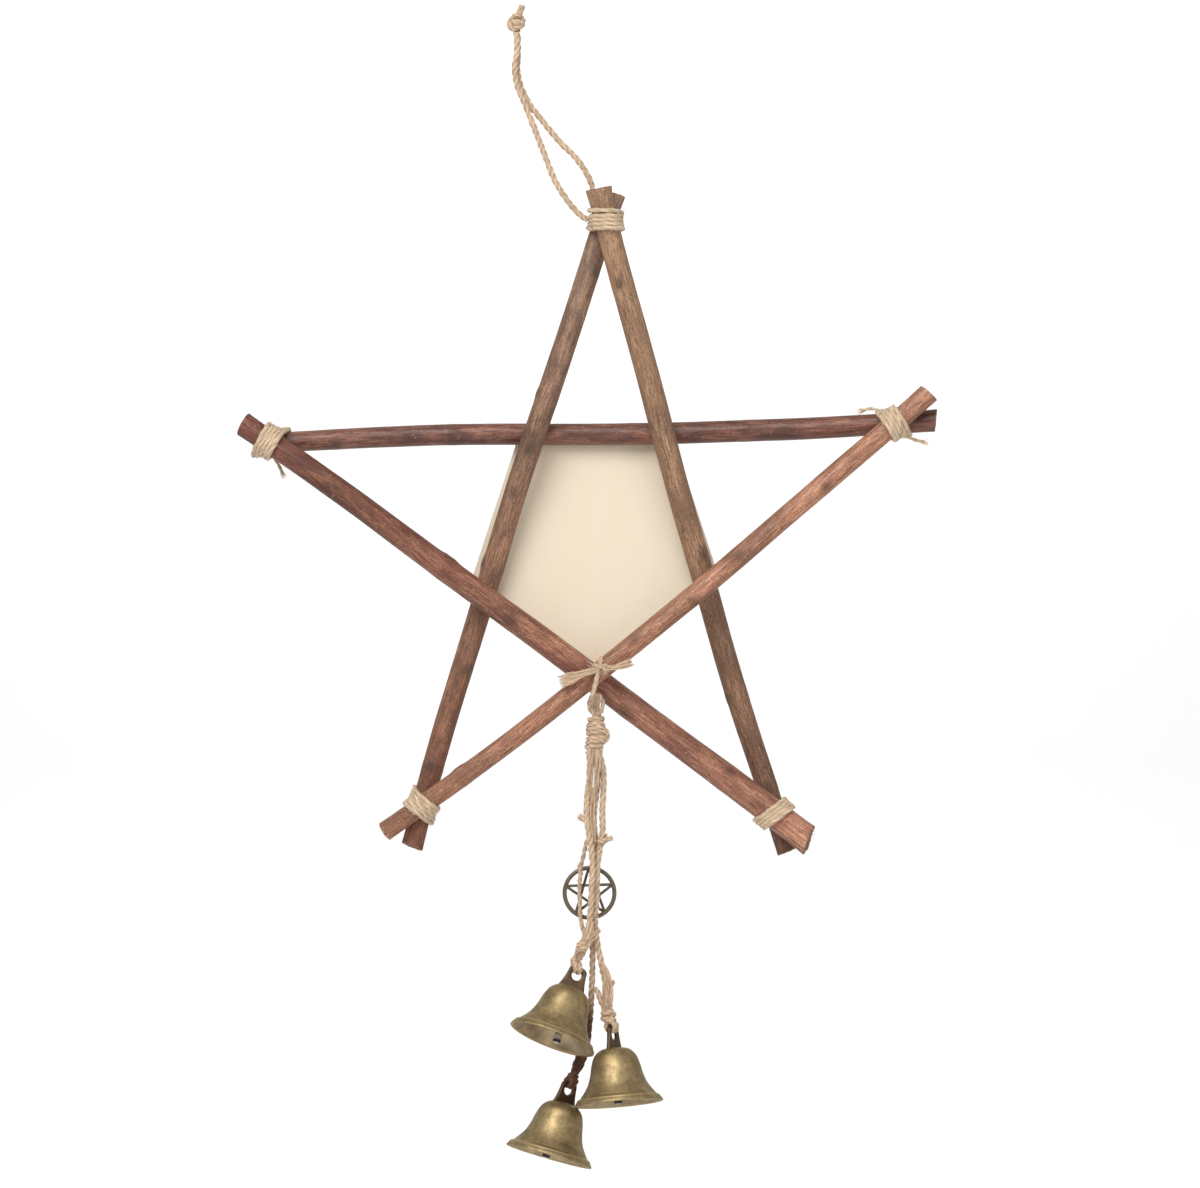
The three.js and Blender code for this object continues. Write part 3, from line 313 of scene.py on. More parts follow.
# Loop's knot: path, share of the cord's diameter, facing, seed, and how thin its two ends are
LOOP_KNOT = [
    ([(-1.2, -2.2, 2.6), (-3.1, -1.2, 5.2), (-2.6, 1.2, 8.2), (0.2, 2.0, 9.4), (2.4, 0.6, 8.0),
      (2.3, -1.8, 6.4), (0.0, -2.7, 6.4), (-2.2, -1.8, 7.6)], 0.95, (0, 0, 1), 31, 0.5),
    ([(-2.0, -0.6, 4.2), (0.4, -2.3, 4.4), (2.4, -0.9, 5.4), (1.8, 1.4, 7.0), (-0.8, 1.4, 8.2),
      (-1.5, -0.9, 9.2), (0.6, -2.0, 9.8), (2.0, -0.6, 9.2)], 0.9, (0.2, 0, 1), 32, 0.5),
    ([(0.2, 0.6, 2.4), (0.0, 0.5, 5.0), (0.5, 0.2, 8.5), (1.6, 0.0, 11.4), (2.3, 0.1, 14.0)], 1.05, (0, 1, 0),
     33, 1.0),
    ([(0.4, -0.7, 8.6), (0.9, -0.9, 10.6), (1.3, -0.8, 13.0)], 0.85, (0, 1, 0), 34, 1.0),
    ([(-0.9, -0.2, 3.0), (-1.1, -0.2, 5.8), (0.2, 0.1, 9.2)], 1.3, (0, 1, 0), 36, 0.6),
]
LOOP_KNOT_TIP = (2.2, 0.0, 14.0)

# Centre tie's knot and its stray hairs: their root and the ways that they point
TIE_KNOT = [
    (33.4, -17.6, -269.4), (35.0, -19.6, -269.8), (37.6, -19.4, -271.4), (37.8, -17.4, -272.8),
    (35.6, -17.2, -272.6), (34.2, -19.0, -271.8), (36.2, -20.2, -270.2), (38.4, -18.6, -269.6),
]
TIE_HAIR_ROOT = (34.6, -18.9, -270.6)
TIE_HAIR_AIMS = ((-1.0, -0.1, 0.25), (0.4, -0.2, 1.0))
# Hank: ends of its core, the winding's ends, turns and twine, its bulge, and the stubs under it as (x, y)
HANK_CORE_ENDS = (-291.0, -307.6)
HANK_WINDING_ENDS = (-291.6, -306.2)
HANK_TURNS = 7.5
HANK_TWINE = 2.1
HANK_BULGE = [(37.2, -11.5, -296.4), (38.9, -9.9, -298.6), (38.6, -9.0, -301.2), (36.8, -9.6, -303.4)]
HANK_STUBS = ((31.4, -10.8), (33.6, -8.8), (35.6, -9.6))

# Camera, in metres: distance, width of the view at the piece, and the place that it looks at as (x, z)
CAMERA_DISTANCE = 2.6
CAMERA_WIDTH = 0.516
CAMERA_PLACE = (0.0357, -0.2391)
# Stage, in metres: the paper's line as (y, z), half its width, and the lamps as (name, kind, place, what it
# faces, size, watts)
PAPER_LINE = ((-4, -0.9), (2.1, -0.9), (2.7, -0.86), (3.05, -0.7), (3.2, -0.4), (3.22, 0.2), (3.22, 2.9))
PAPER_HALF = 4.0
LAMPS = (
    ("key", "AREA", (-0.6, -1.65, 1.2), (0.03, 0.0, -0.26), 1.4, 33.0),
    ("fill", "AREA", (1.2, -1.8, 0.1), (0.03, 0.0, -0.26), 1.2, 6.0),
    ("backdrop", "SPOT", (0.0, 2.1, 1.5), (0.03, 3.2, -0.3), 0.3, 125.0),
)
# Spot lamp's cone in degrees and its soft share, and the surroundings' light
SPOT_SPREAD = 75
SPOT_BLEND = 0.6
WORLD_LIGHT = 0.4

# Number helpers


def linear(code):
    """Linear colour of an sRGB hex value."""
    shares = [int(code[i:i + 2], 16) / 255 for i in (1, 3, 5)]
    return tuple(c / 12.92 if c <= 0.04045 else ((c + 0.055) / 1.055) ** 2.4 for c in shares)


def unit(vectors):
    """Vectors divided by their lengths."""
    return vectors / np.linalg.norm(vectors, axis=-1, keepdims=True)


def arc(path):
    """Length along a path of points, from 0 at its first point."""
    return np.concatenate([[0.0], np.cumsum(np.linalg.norm(np.diff(path, axis=0), axis=1))])


def hump(place, middle, width):
    """Smooth hump of height 1: exp(-((place - middle) / width)^2)."""
    return np.exp(-((place - middle) / width) ** 2)


def resample(path, step):
    """Points every step along a path, ends kept."""
    s = arc(path)
    wanted = np.linspace(0, s[-1], max(3, int(round(s[-1] / step)) + 1))
    return np.stack([np.interp(wanted, s, path[:, k]) for k in range(3)], -1)


def smooth(points, step):
    """Centripetal Catmull-Rom curve through points: knots spaced by the root of each chord, and each
    place mixed from its four nearest points by the pyramid of straight mixes between knots."""
    p = np.asarray(points, float)
    p = np.vstack([2 * p[0] - p[1], p, 2 * p[-1] - p[-2]])
    knots = np.concatenate([[0], np.cumsum(np.linalg.norm(np.diff(p, axis=0), axis=1) ** 0.5)])
    u = np.linspace(knots[1], knots[-2], 60 * len(points))
    i = np.clip(np.searchsorted(knots, u, side="right") - 1, 1, len(p) - 3)
    k = [knots[i + j] for j in (-1, 0, 1, 2)]

    def mix(a, b, low, high):
        share = ((u - low) / (high - low))[:, None]
        return a * (1 - share) + b * share

    a = [mix(p[i + j - 1], p[i + j], k[j], k[j + 1]) for j in range(3)]
    b = [mix(a[j], a[j + 1], k[j], k[j + 2]) for j in range(2)]
    return resample(mix(b[0], b[1], k[1], k[2]), step)


def waves(seed, count, low, high):
    """Smooth function of several arrays: the mean of sines with random directions and phases, whose
    frequencies lie between low and high in each array's own unit."""
    random = np.random.default_rng(seed)

    def value(*arrays):
        total = 0.0
        for _ in range(count):
            aim = random.uniform(low, high, len(arrays)) * random.choice([-1, 1], len(arrays))
            total = total + np.sin(sum(f * a for f, a in zip(aim, arrays)) + random.uniform(0, TAU))
        return total / count

    return value


# Surfaces


def shell(grid, along=False, rest=None, mark=0.0, tone=0.0):
    """Closed surface over a grid of rows and columns: quad (r, c) joins points (r, c), (r, c + 1),
    (r + 1, c + 1) and (r + 1, c). Columns close on themselves, rows too if along; otherwise a fan to
    the mean point closes the first and the last row. Its faces are turned out by its signed volume."""
    rows, cols = grid.shape[:2]
    r = np.arange(rows if along else rows - 1)[:, None]
    c = np.arange(cols)[None, :]
    up, right = (r + 1) % rows, (c + 1) % cols
    quads = np.stack([r * cols + c, r * cols + right, up * cols + right, up * cols + c], -1).reshape(-1, 4)
    points = grid.reshape(-1, 3)
    rest = points if rest is None else rest.reshape(-1, 3)
    marks = np.stack([np.broadcast_to(v, (rows, cols)).reshape(-1) for v in (mark, tone)], -1)
    fans = np.zeros((0, 3), int)
    if not along:
        start, last = rows * cols, (rows - 1) * cols
        c, right = np.arange(cols), (np.arange(cols) + 1) % cols
        first_fan = np.stack([np.full(cols, start), right, c], -1)
        last_fan = np.stack([np.full(cols, start + 1), last + c, last + right], -1)
        fans = np.vstack([first_fan, last_fan])
        rings = [slice(0, cols), slice(last, start)]
        points, rest, marks = (np.vstack([v, *[v[ring].mean(0, keepdims=True) for ring in rings]])
                               for v in (points, rest, marks))
    a, b, d, e = (points[quads[:, k]] for k in range(4))
    volume = np.einsum("ij,ij->", a, np.cross(b, d)) + np.einsum("ij,ij->", a, np.cross(d, e))
    a, b, d = (points[fans[:, k]] for k in range(3))
    volume += np.einsum("ij,ij->", a, np.cross(b, d))
    if volume < 0:
        quads, fans = quads[:, ::-1], fans[:, ::-1]
    return points, quads, fans, rest, marks


def placed(name, data):
    """Object with this data, in the scene."""
    thing = bpy.data.objects.new(name, data)
    bpy.context.scene.collection.objects.link(thing)
    return thing


def piece(name, shells, material, nodes=(), sharp=60.0):
    """Object of one mesh made of shells, with the named material, riding on the root body and standing for
    CAD nodes. Faces that meet at more than the sharp angle keep their edge."""
    starts = np.cumsum([0] + [len(s[0]) for s in shells])
    points = np.vstack([s[0] for s in shells])
    quads = np.vstack([s[1] + n for s, n in zip(shells, starts)])
    fans = np.vstack([s[2] + n for s, n in zip(shells, starts)])
    corners = np.concatenate([quads.ravel(), fans.ravel()])
    first = np.concatenate([np.arange(len(quads)) * 4, 4 * len(quads) + np.arange(len(fans)) * 3])
    mesh = bpy.data.meshes.new(name)
    mesh.vertices.add(len(points))
    mesh.vertices.foreach_set("co", (points * MM).astype(np.float32).ravel())
    mesh.loops.add(len(corners))
    mesh.loops.foreach_set("vertex_index", corners.astype(np.int32))
    mesh.polygons.add(len(first))
    mesh.polygons.foreach_set("loop_start", first.astype(np.int32))
    mesh.update(calc_edges=True)
    mesh.validate()
    rest = mesh.attributes.new("rest", "FLOAT_VECTOR", "POINT")
    rest.data.foreach_set("vector", (np.vstack([s[3] for s in shells]) * MM).astype(np.float32).ravel())
    marks = np.vstack([s[4] for s in shells]).astype(np.float32)
    for column, label in enumerate(("mark", "tone")):
        layer = mesh.attributes.new(label, "FLOAT", "POINT")
        layer.data.foreach_set("value", np.ascontiguousarray(marks[:, column]))
    mesh.polygons.foreach_set("use_smooth", np.ones(len(first), bool))
    mesh.set_sharp_from_angle(angle=math.radians(sharp))
    mesh.materials.append(bpy.data.materials[material])
    thing = placed(name, mesh)
    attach(thing, "root")
    if nodes:
        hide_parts(*nodes)
    return thing


def axes_along(path, facing, closed=False):
    """Unit directions at each point of a path: along it, the facing direction made square to it, and
    the third square to both."""
    if closed:
        along = unit(np.roll(path, -1, 0) - np.roll(path, 1, 0))
    else:
        along = unit(np.gradient(path, axis=0))
    facing = np.broadcast_to(np.asarray(facing, float), path.shape)
    normal = unit(facing - (facing * along).sum(-1, keepdims=True) * along)
    return along, normal, np.cross(along, normal)


def tube(path, radii, facing, sides=16, closed=False, boxy=1.0, flat=1.0, mark=0.0):
    """Tube round a path: point = centre + normal r |cos a|^boxy sign(cos a) + across flat r |sin a|^boxy
    sign(sin a). boxy below 1 squares the section, flat below 1 flattens it."""
    _, normal, across = axes_along(path, facing, closed)
    angle = TAU * np.arange(sides) / sides
    c, s = (np.sign(v) * np.abs(v) ** boxy for v in (np.cos(angle), np.sin(angle)))
    r = np.broadcast_to(np.asarray(radii, float), (len(path),))[:, None, None]
    grid = path[:, None] + r * (normal[:, None] * c[None, :, None]
                                + flat * across[:, None] * s[None, :, None])
    length = arc(path)[:, None]
    rest = np.stack([r[..., 0] * c, r[..., 0] * s, length + 0 * r[..., 0] * c], -1)
    return shell(grid, along=closed, rest=rest, mark=np.broadcast_to(mark, (len(path), sides)))


def twisted(path, diameter, facing, plies=3, pitch=10.0, sides=18, seed=1, closed=False, ends=(1.0, 1.0),
            filled=0.74):
    """Twisted cord: at length s the section is the outline of plies touching round strands turned by
    2 pi s / pitch. With strand radius r and offset d, the outline is
    d cos q + sqrt(r^2 - d^2 sin^2 q), q the angle from the nearest strand's middle, and fibres fill its
    grooves up to a share of the radius. The first and last two millimetres shrink to the ends' shares."""
    s = arc(path)
    _, normal, across = axes_along(path, facing, closed)
    wobble = waves(seed, 5, 0.15, 0.9)
    turn = TAU * s / pitch + 0.5 * wobble(s)
    angle = TAU * np.arange(sides) / sides
    q = (angle[None] - turn[:, None] + math.pi / plies) % (TAU / plies) - math.pi / plies
    radius = diameter / 2
    strand = radius / (1 + 1 / math.sin(math.pi / plies))
    offset = radius - strand
    outline = offset * np.cos(q) + np.sqrt(np.maximum(strand ** 2 - (offset * np.sin(q)) ** 2, 0))
    outline = np.maximum(outline, filled * radius)
    # how deep each point lies in a groove between the plies; the jute material browns the grooves by it as
    # painted shade
    groove_shade = 1 - (outline / radius - filled) / (1 - filled)
    shrink = np.interp(s, [0, 2, max(2.1, s[-1] - 2), max(2.2, s[-1])], [ends[0], 1, 1, ends[1]])
    thick = (1 + 0.07 * waves(seed + 1, 4, 0.2, 1.1)(s)) * shrink
    outline = outline * thick[:, None] * (1 + 0.03 * waves(seed + 2, 6, 1, 4)(s[:, None], 3 * angle[None]))
    grid = path[:, None] + outline[..., None] * (normal[:, None] * np.cos(angle)[None, :, None]
                                                 + across[:, None] * np.sin(angle)[None, :, None])
    turned = angle[None] - turn[:, None]
    rest = np.stack([radius * np.cos(turned), radius * np.sin(turned), s[:, None] + 0 * turned], -1)
    return shell(grid, along=closed, rest=rest, mark=np.clip(groove_shade, 0, 1))


def fibres(roots, aims, curls, lengths, widths, steps=5):
    """Loose fibres as three-sided tubes that thin to a point: each follows root + aim s + curl s^2,
    with s from 0 to its length."""
    count = len(roots)
    share = np.linspace(0, 1, steps)[None, :, None]
    s = share * lengths[:, None, None]
    line = roots[:, None] + aims[:, None] * s + curls[:, None] * s ** 2
    side = unit(np.cross(aims, np.array([0.31, 0.83, 0.46])))
    over = unit(np.cross(aims, side))
    angle = TAU * np.arange(3) / 3
    ring = (side[:, None, None] * np.cos(angle)[None, None, :, None]
            + over[:, None, None] * np.sin(angle)[None, None, :, None])
    width = (widths[:, None, None] / 2 * (1 - 0.85 * share))[..., None]
    grid = line[:, :, None] + width * ring
    points = grid.reshape(-1, 3)
    base = (np.arange(count) * steps * 3)[:, None, None]
    row, col = np.arange(steps - 1)[None, :, None] * 3, np.arange(3)[None, None, :]
    nxt = (col + 1) % 3
    quads = np.stack(np.broadcast_arrays(base + row + col, base + row + nxt, base + row + 3 + nxt,
                                         base + row + 3 + col), -1).reshape(-1, 4)
    base = base[:, 0, 0]
    last = base + (steps - 1) * 3
    fans = np.vstack([np.stack([base + 2, base + 1, base], -1), np.stack([last, last + 1, last + 2], -1)])
    random = np.random.default_rng(count)
    rest = points + random.uniform(0, 40, (count, 1, 3)).repeat(steps * 3, 1).reshape(-1, 3)
    marks = np.zeros((len(points), 2))
    a, b, d = points[quads[0, 0]], points[quads[0, 1]], points[quads[0, 2]]
    middle = line[0, 0]
    if np.dot(np.cross(b - a, d - a), a - middle) < 0:
        quads, fans = quads[:, ::-1], fans[:, ::-1]
    return points, quads, fans, rest, marks


def fuzz(path, radius, facing, per_mm, seed, reach=1.3):
    """Stray fibres of a cord: they leave its surface nearly flat and lift off by up to reach mm."""
    random = np.random.default_rng(seed)
    count = max(3, int(arc(path)[-1] * per_mm))
    along, normal, across = axes_along(path, facing)
    at = random.integers(5, max(6, len(path) - 5), count)
    angle = random.uniform(0, TAU, count)
    out = normal[at] * np.cos(angle)[:, None] + across[at] * np.sin(angle)[:, None]
    way = along[at] * random.choice([-1, 1], count)[:, None]
    aims = unit(way + out * random.uniform(0.15, 0.65, count)[:, None])
    curls = out * random.uniform(-0.05, 0.12, count)[:, None] + random.uniform(-0.1, 0.1, (count, 3))
    lengths = random.uniform(0.5, 1.0, count) * reach * 1.4
    return fibres(path[at] + out * radius * 0.86, aims, curls, lengths, random.uniform(0.1, 0.22, count))


def cord_parts(path, diameter, facing, seed, plies=3, pitch=10.0, per_mm=1.6, **options):
    """A twisted cord and its stray fibres."""
    return [twisted(path, diameter, facing, plies=plies, pitch=pitch, seed=seed, **options),
            fuzz(path, diameter / 2, facing, per_mm, seed + 11)]


# Rods


def flat_point(rod, t):
    """Centre line seen from the front: chord + square (4 bow t (1 - t) + sway sin 2 pi t)."""
    start, end = np.array(rod["start"]), np.array(rod["end"])
    line = end - start
    square = np.array([line[1], -line[0]]) / np.hypot(*line)
    t = np.asarray(t, float)[..., None]
    return start + line * t + square * (rod["bow"] * 4 * t * (1 - t) + rod["sway"] * np.sin(TAU * t))


def flat_slope(rod, t):
    """Change of the flat centre line for each unit of t."""
    return (flat_point(rod, t + 1e-4) - flat_point(rod, t - 1e-4)) / 2e-4


def rod_radius(rod, t):
    """Half the parabola through the diameters at t = 0, 1/2 and 1."""
    a, b, c = rod["girth"]
    return (a * (1 - t) * (1 - 2 * t) + b * 4 * t * (1 - t) + c * t * (2 * t - 1)) / 2


def cross2(a, b):
    """Area spanned by two flat vectors."""
    return a[..., 0] * b[..., 1] - a[..., 1] * b[..., 0]


def meet(first, second):
    """Where two flat centre lines cross, by Newton steps from their middles."""
    t = u = 0.5
    for _ in range(12):
        gap = flat_point(second, u) - flat_point(first, t)
        a, b = flat_slope(first, t), flat_slope(second, u)
        t, u = t + cross2(gap, b) / cross2(a, b), u + cross2(gap, a) / cross2(a, b)
    return float(t), float(u)


def rod_depth(rod, t):
    """Depth: the cubic through the depths at the rod's four crossings."""
    t = np.asarray(t, float)
    total = 0.0
    for here, value in rod["stations"]:
        weight = value
        for other, _ in rod["stations"]:
            if other != here:
                weight = weight * (t - other) / (here - other)
        total = total + weight
    return total


def rod_point(rod, t):
    """Centre line in space."""
    flat = flat_point(rod, t)
    return np.stack([flat[..., 0], rod_depth(rod, t), flat[..., 1]], -1)


def settle():
    """Depths of every rod at its crossings: half the touch gap and the rod's radius, spread by how much
    the two lines slope in depth, on each side of the crossing's plane."""
    for crossing in CROSSINGS.values():
        t, u = meet(RODS[crossing["front"]], RODS[crossing["back"]])
        crossing.update(t=t, u=u, place=flat_point(RODS[crossing["front"]], t), spread=1.0)
    for _ in range(4):
        for rod in RODS.values():
            rod["stations"] = []
        for crossing in CROSSINGS.values():
            front, back = RODS[crossing["front"]], RODS[crossing["back"]]
            near = (TOUCH / 2 + rod_radius(front, crossing["t"])) * crossing["spread"] + crossing["air"]
            far = (TOUCH / 2 + rod_radius(back, crossing["u"])) * crossing["spread"]
            front["stations"].append((crossing["t"], crossing["depth"] - near))
            back["stations"].append((crossing["u"], crossing["depth"] + far))
        for crossing in CROSSINGS.values():
            a, b = (unit(rod_point(RODS[crossing[side]], crossing[place] + 1e-3)
                         - rod_point(RODS[crossing[side]], crossing[place] - 1e-3))
                    for side, place in (("front", "t"), ("back", "u")))
            square = np.cross(a, b)
            crossing["spread"] = float(np.linalg.norm(square) / abs(square[1]))


settle()


def cut_edge(name, last, size, angle, seed):
    """How far the rim of a cut end moves along the rod: a slanted plane and fine roughness, or splinters
    where the end is torn."""
    slant = CUT_SLANT[name][1 if last else 0] * size * np.cos(angle)
    if last and name == TORN_ROD:
        return slant + (0.9 * waves(seed + 5, 6, 1, 4)(angle) + 0.5 * waves(seed + 6, 8, 5, 12)(angle))
    return slant + 0.12 * waves(seed + 5, 8, 3, 9)(angle)


def cut_face(ring, rest, along, seed):
    """Face of a cut, from its rounded edge to the dished pith, and its places on the pattern."""
    middle = ring.mean(0)
    face = middle + (ring - middle)[None] * CUT_INWARD
    grain = 0.16 * waves(seed, 9, 1, 3)(face[..., 0], face[..., 1], face[..., 2])
    face = face + along * (CUT_BULGE + grain[..., None])
    flat = np.broadcast_to(rest[None, :, 2:], (*face.shape[:2], 1))
    return face, np.concatenate([rest[None, :, :2] * CUT_INWARD, flat], -1)


def rod_shell(name, relief, seed):
    """Bark rod: radius(t) times one plus waves along and round it, and a bump of height
    exp(-(ds / length)^2 - (da r / width)^2) for each bark node. It widens by exp(-ds / reach) towards its
    cut ends, which are planes on a slant, rounded over at the edge and dished towards the pith."""
    rod = RODS[name]
    centre = rod_point(rod, np.linspace(0, 1, ROD_ROWS))
    s = arc(centre)
    along = unit(np.gradient(centre, axis=0))
    across = unit(np.cross(np.array([0.0, 1.0, 0.0]), along))
    out = np.cross(along, across)
    angle = TAU * np.arange(ROD_COLUMNS) / ROD_COLUMNS
    radius = rod_radius(rod, np.linspace(0, 1, ROD_ROWS))[:, None]
    # angle 0 of the list of nodes faces the front
    front = (1.5 if out[:, 1].mean() > 0 else 0.5) * math.pi
    face = np.mod(angle[None] - front + math.pi, TAU) - math.pi
    a, ss = angle[None] + 0 * s[:, None], s[:, None] + 0 * angle[None]
    ca, sa = np.cos(a), np.sin(a)
    lift = sum(share * waves(seed + k, count, low, high)(length * ss, girth * ca, girth * sa)
               for k, (share, count, low, high, length, girth) in enumerate(BARK_WAVES)) * radius * relief
    rough = np.zeros_like(lift)
    for share, degrees, height, length, width in BARK_NODES[name]:
        off = np.mod(face - math.radians(degrees) + math.pi, TAU) - math.pi
        far, beside = (ss - share * s[-1]) / length, off * radius / width
        bump = np.exp(-far ** 2 - beside ** 2)
        scar = np.exp(-(far * 2.4) ** 2 - (beside * 2.4) ** 2)
        ring = 0.18 * height * np.exp(-(far * 1.1 - 0.3) ** 2)
        lift = lift + height * bump - 0.55 * height * scar + ring
        rough = np.maximum(rough, bump)
    flare = FLARES.get(name, COMMON_FLARE)
    split = 1 + 0.7 * waves(seed + 7, 6, 3, 9)(angle)[None]
    size = (radius + lift) * (1 + flare[0] * split * np.exp(-ss / FLARE_REACH[0])
                              + flare[1] * np.exp(-(s[-1] - ss) / FLARE_REACH[1]))
    wander = waves(seed + 3, 4, 0.02, 0.07)
    shift = 0.35 * (across * wander(s)[:, None] + out * wander(s + 91)[:, None]) * relief
    grid = centre[:, None] + shift[:, None] + size[..., None] * (across[:, None] * ca[..., None]
                                                                 + out[:, None] * sa[..., None])
    move = (np.clip(1 - ss / CUT_REACH, 0, 1) * cut_edge(name, False, size[0], angle, seed)[None]
            + np.clip(1 - (s[-1] - ss) / CUT_REACH, 0, 1) * cut_edge(name, True, size[-1], angle, seed)[None])
    grid = grid + along[:, None] * move[..., None]
    rest = np.stack([size * ca, size * sa, ss + seed * BARK_SHIFT], -1)
    first, first_rest = cut_face(grid[0], rest[0], -along[0], seed + 8)
    last, last_rest = cut_face(grid[-1], rest[-1], along[-1], seed + 7)
    cut = np.repeat([1.0, 0.0, 1.0], [len(first), ROD_ROWS, len(last)])[:, None]
    bare = np.zeros(first.shape[:2])
    return shell(np.concatenate([first[::-1], grid, last]), mark=cut,
                 tone=np.concatenate([bare, rough, bare]),
                 rest=np.concatenate([first_rest[::-1], rest, last_rest]))


# Lashings


def sections(crossing, lean, distance):
    """Ellipses in which planes square to the stacking line, at these distances along it, cut the two
    rods: place across the line, depth, half width and half depth."""
    line = np.array([math.cos(lean), math.sin(lean)])
    found = []
    for side, place in (("front", "t"), ("back", "u")):
        rod = RODS[crossing[side]]
        slope = flat_slope(rod, crossing[place])
        t = crossing[place] + distance / (slope @ line)
        radius = rod_radius(rod, t)
        slant = abs(slope @ line) / np.hypot(*slope)
        found.append((cross2(np.broadcast_to(line, (len(t), 2)), flat_point(rod, t) - crossing["place"]),
                      rod_depth(rod, t), radius / slant, radius))
    return found


def turn_path(crossing, lean_degrees, distance, angle, offset):
    """Taut turns round both rods: from the middle between the two ellipses, at this angle, as far as the
    nearest of the lines that touch them both, moved out by the offset, which may depend on the way that a
    line faces."""
    lean = math.radians(lean_degrees)
    a, b = sections(crossing, lean, distance)
    middle = np.stack([(a[0] + b[0]) / 2, (a[1] + b[1]) / 2], -1)
    facing = np.linspace(0, TAU, 180, endpoint=False)[None]
    c, s = np.cos(facing), np.sin(facing)
    support = np.maximum(*[(e[0] - middle[:, 0])[:, None] * c + (e[1] - middle[:, 1])[:, None] * s
                           + np.hypot(e[2][:, None] * c, e[3][:, None] * s) for e in (a, b)])
    share = np.cos(facing - angle[:, None])
    far = np.where(share > 0.05, (support + offset(facing)) / np.maximum(share, 0.05), np.inf).min(1)
    line = np.array([math.cos(lean), math.sin(lean)])
    side = np.array([-line[1], line[0]])
    flat = (crossing["place"] + line * distance[:, None]
            + side * (middle[:, 0] + far * np.cos(angle))[:, None])
    return np.stack([flat[:, 0], middle[:, 1] + far * np.sin(angle), flat[:, 1]], -1)


def lashing_shells(name, twine, seed):
    """One twine wound round a crossing: turns lie side by side with a little wander, each stays level and
    steps on to the next at the back, and each end dives under its neighbour."""
    data = LASHINGS[name]
    turns, lean = data["turns"], data["lean"] + data.get("ease", 0)
    angle = np.linspace(0, TAU * turns, turns * TURN_POINTS) + math.pi / 2
    turned = np.linspace(0, 1, len(angle)) * turns
    wander = waves(seed, 5, 0.5, 1.4)
    level = np.floor(turned * 0.9999)
    step = np.clip((turned - level - TURN_STEP) / (1 - TURN_STEP), 0, 1)
    step = step * step * (3 - 2 * step)
    distance = (-(turns - 1) * TURN_PITCH / 2 + (level + step) * TURN_PITCH * (turns - 1) / turns
                + TURN_PITCH * 0.1 + data["shift"] + TURN_WANDER * wander(angle))
    distance = distance + data.get("gap", 0) * np.clip(turned - (turns - 1), 0, 1)
    path = turn_path(CROSSINGS[name], lean, distance, angle, lambda facing: twine / 2 + 0.05)
    lift = TURN_LIFT * (1 + wander(angle * 1.7 + 4))
    dive = hump(turned, 0, DIVE_SHARE) + hump(turned, turns, DIVE_SHARE)
    path = path + unit(path - path.mean(0)) * (lift - TURN_DIVE * dive)[:, None]
    line = np.array([math.cos(math.radians(lean)), 0, math.sin(math.radians(lean))])
    parts = cord_parts(resample(path, 0.5), twine * 0.94, line, seed, plies=2, pitch=12.0, per_mm=3.0,
                       sides=14, filled=0.84)
    for number, points in enumerate(data["tails"]):
        tail = smooth(points, 0.4)
        parts.append(twisted(tail, twine * 0.75, (0, 1, 0), plies=2, pitch=7.0, sides=12, seed=seed + number))
        parts.append(brush(tail[-1], tail[-1] - tail[-4], 26, 3.2, 0.9, seed + 40 + number))
    return parts


def brush(tip, aim, count, length, spread, seed, girth=0.42):
    """Frayed end: fibres that fan out from a cut end, their roots scattered over its girth."""
    random = np.random.default_rng(seed)
    aim = np.asarray(aim, float) / np.linalg.norm(aim)
    scatter = np.clip(random.normal(0, 1, (count, 3)), -1.6, 1.6) * girth
    roots = tip - aim * 1.5 + scatter - aim * (scatter @ aim)[:, None] * 0.8
    aims = unit(aim + random.normal(0, spread * 0.28, (count, 3)))
    curls = random.normal(0, 0.03, (count, 3))
    lengths = 1.5 + random.uniform(0.4, 1.0, count) * length
    return fibres(roots, aims, curls, lengths, random.uniform(0.16, 0.34, count))


# Tie, hank and knots


def tow(points, widths, count, seed, thick=0.3, tone_and_shade=(0.0, 0.6)):
    """Untwisted fibres side by side that follow a curve. The bundle's width is read along the curve from
    widths at even shares of its length, and the fibres cross over each other by a slow sine."""
    random = np.random.default_rng(seed)
    line = smooth(points, 0.6)
    _, normal, across = axes_along(line, (0, 1, 0))
    s = arc(line)
    share = (s / s[-1])[None, :, None]
    place = random.uniform(-1, 1, (count, 1, 1))
    depth = random.normal(0, thick, (count, 1, 1))
    half = np.interp(share, np.linspace(0, 1, len(widths)), widths) / 2 * 0.95
    swing = place * np.cos(0.6 * np.sin(share * 7 + place * 5))
    strands = (line[None] + across[None] * swing * half + normal[None] * depth * (0.9 - 0.2 * share)
               + normal[None] * 0.25 * np.sin(share * 9 + place * 7))
    parts = []
    for number in range(count):
        stop = int(len(line) * random.uniform(0.82, 1.0))
        thin = random.uniform(0.3, 0.55) / 2 * np.linspace(1, 0.45, stop)
        # each fibre's mark is drawn from the given range: low values vary its tone at random, high values are
        # painted shade
        points, quads, fans, rest, marks = tube(strands[number, :stop], thin, (0, 1, 0), sides=5,
                                                mark=random.uniform(*tone_and_shade))
        # each fibre reads its own part of the pattern
        parts.append((points, quads, fans, rest + random.uniform(0, 60, 3), marks))
    return parts


def darkened_below(parts, top, bottom):
    """Shells whose tone rises from 0 at one height to 1 at a lower one."""
    return [(points, quads, fans, rest,
             np.stack([marks[:, 0], np.clip((points[:, 2] - top) / (bottom - top), 0, 1)], -1))
            for points, quads, fans, rest, marks in parts]


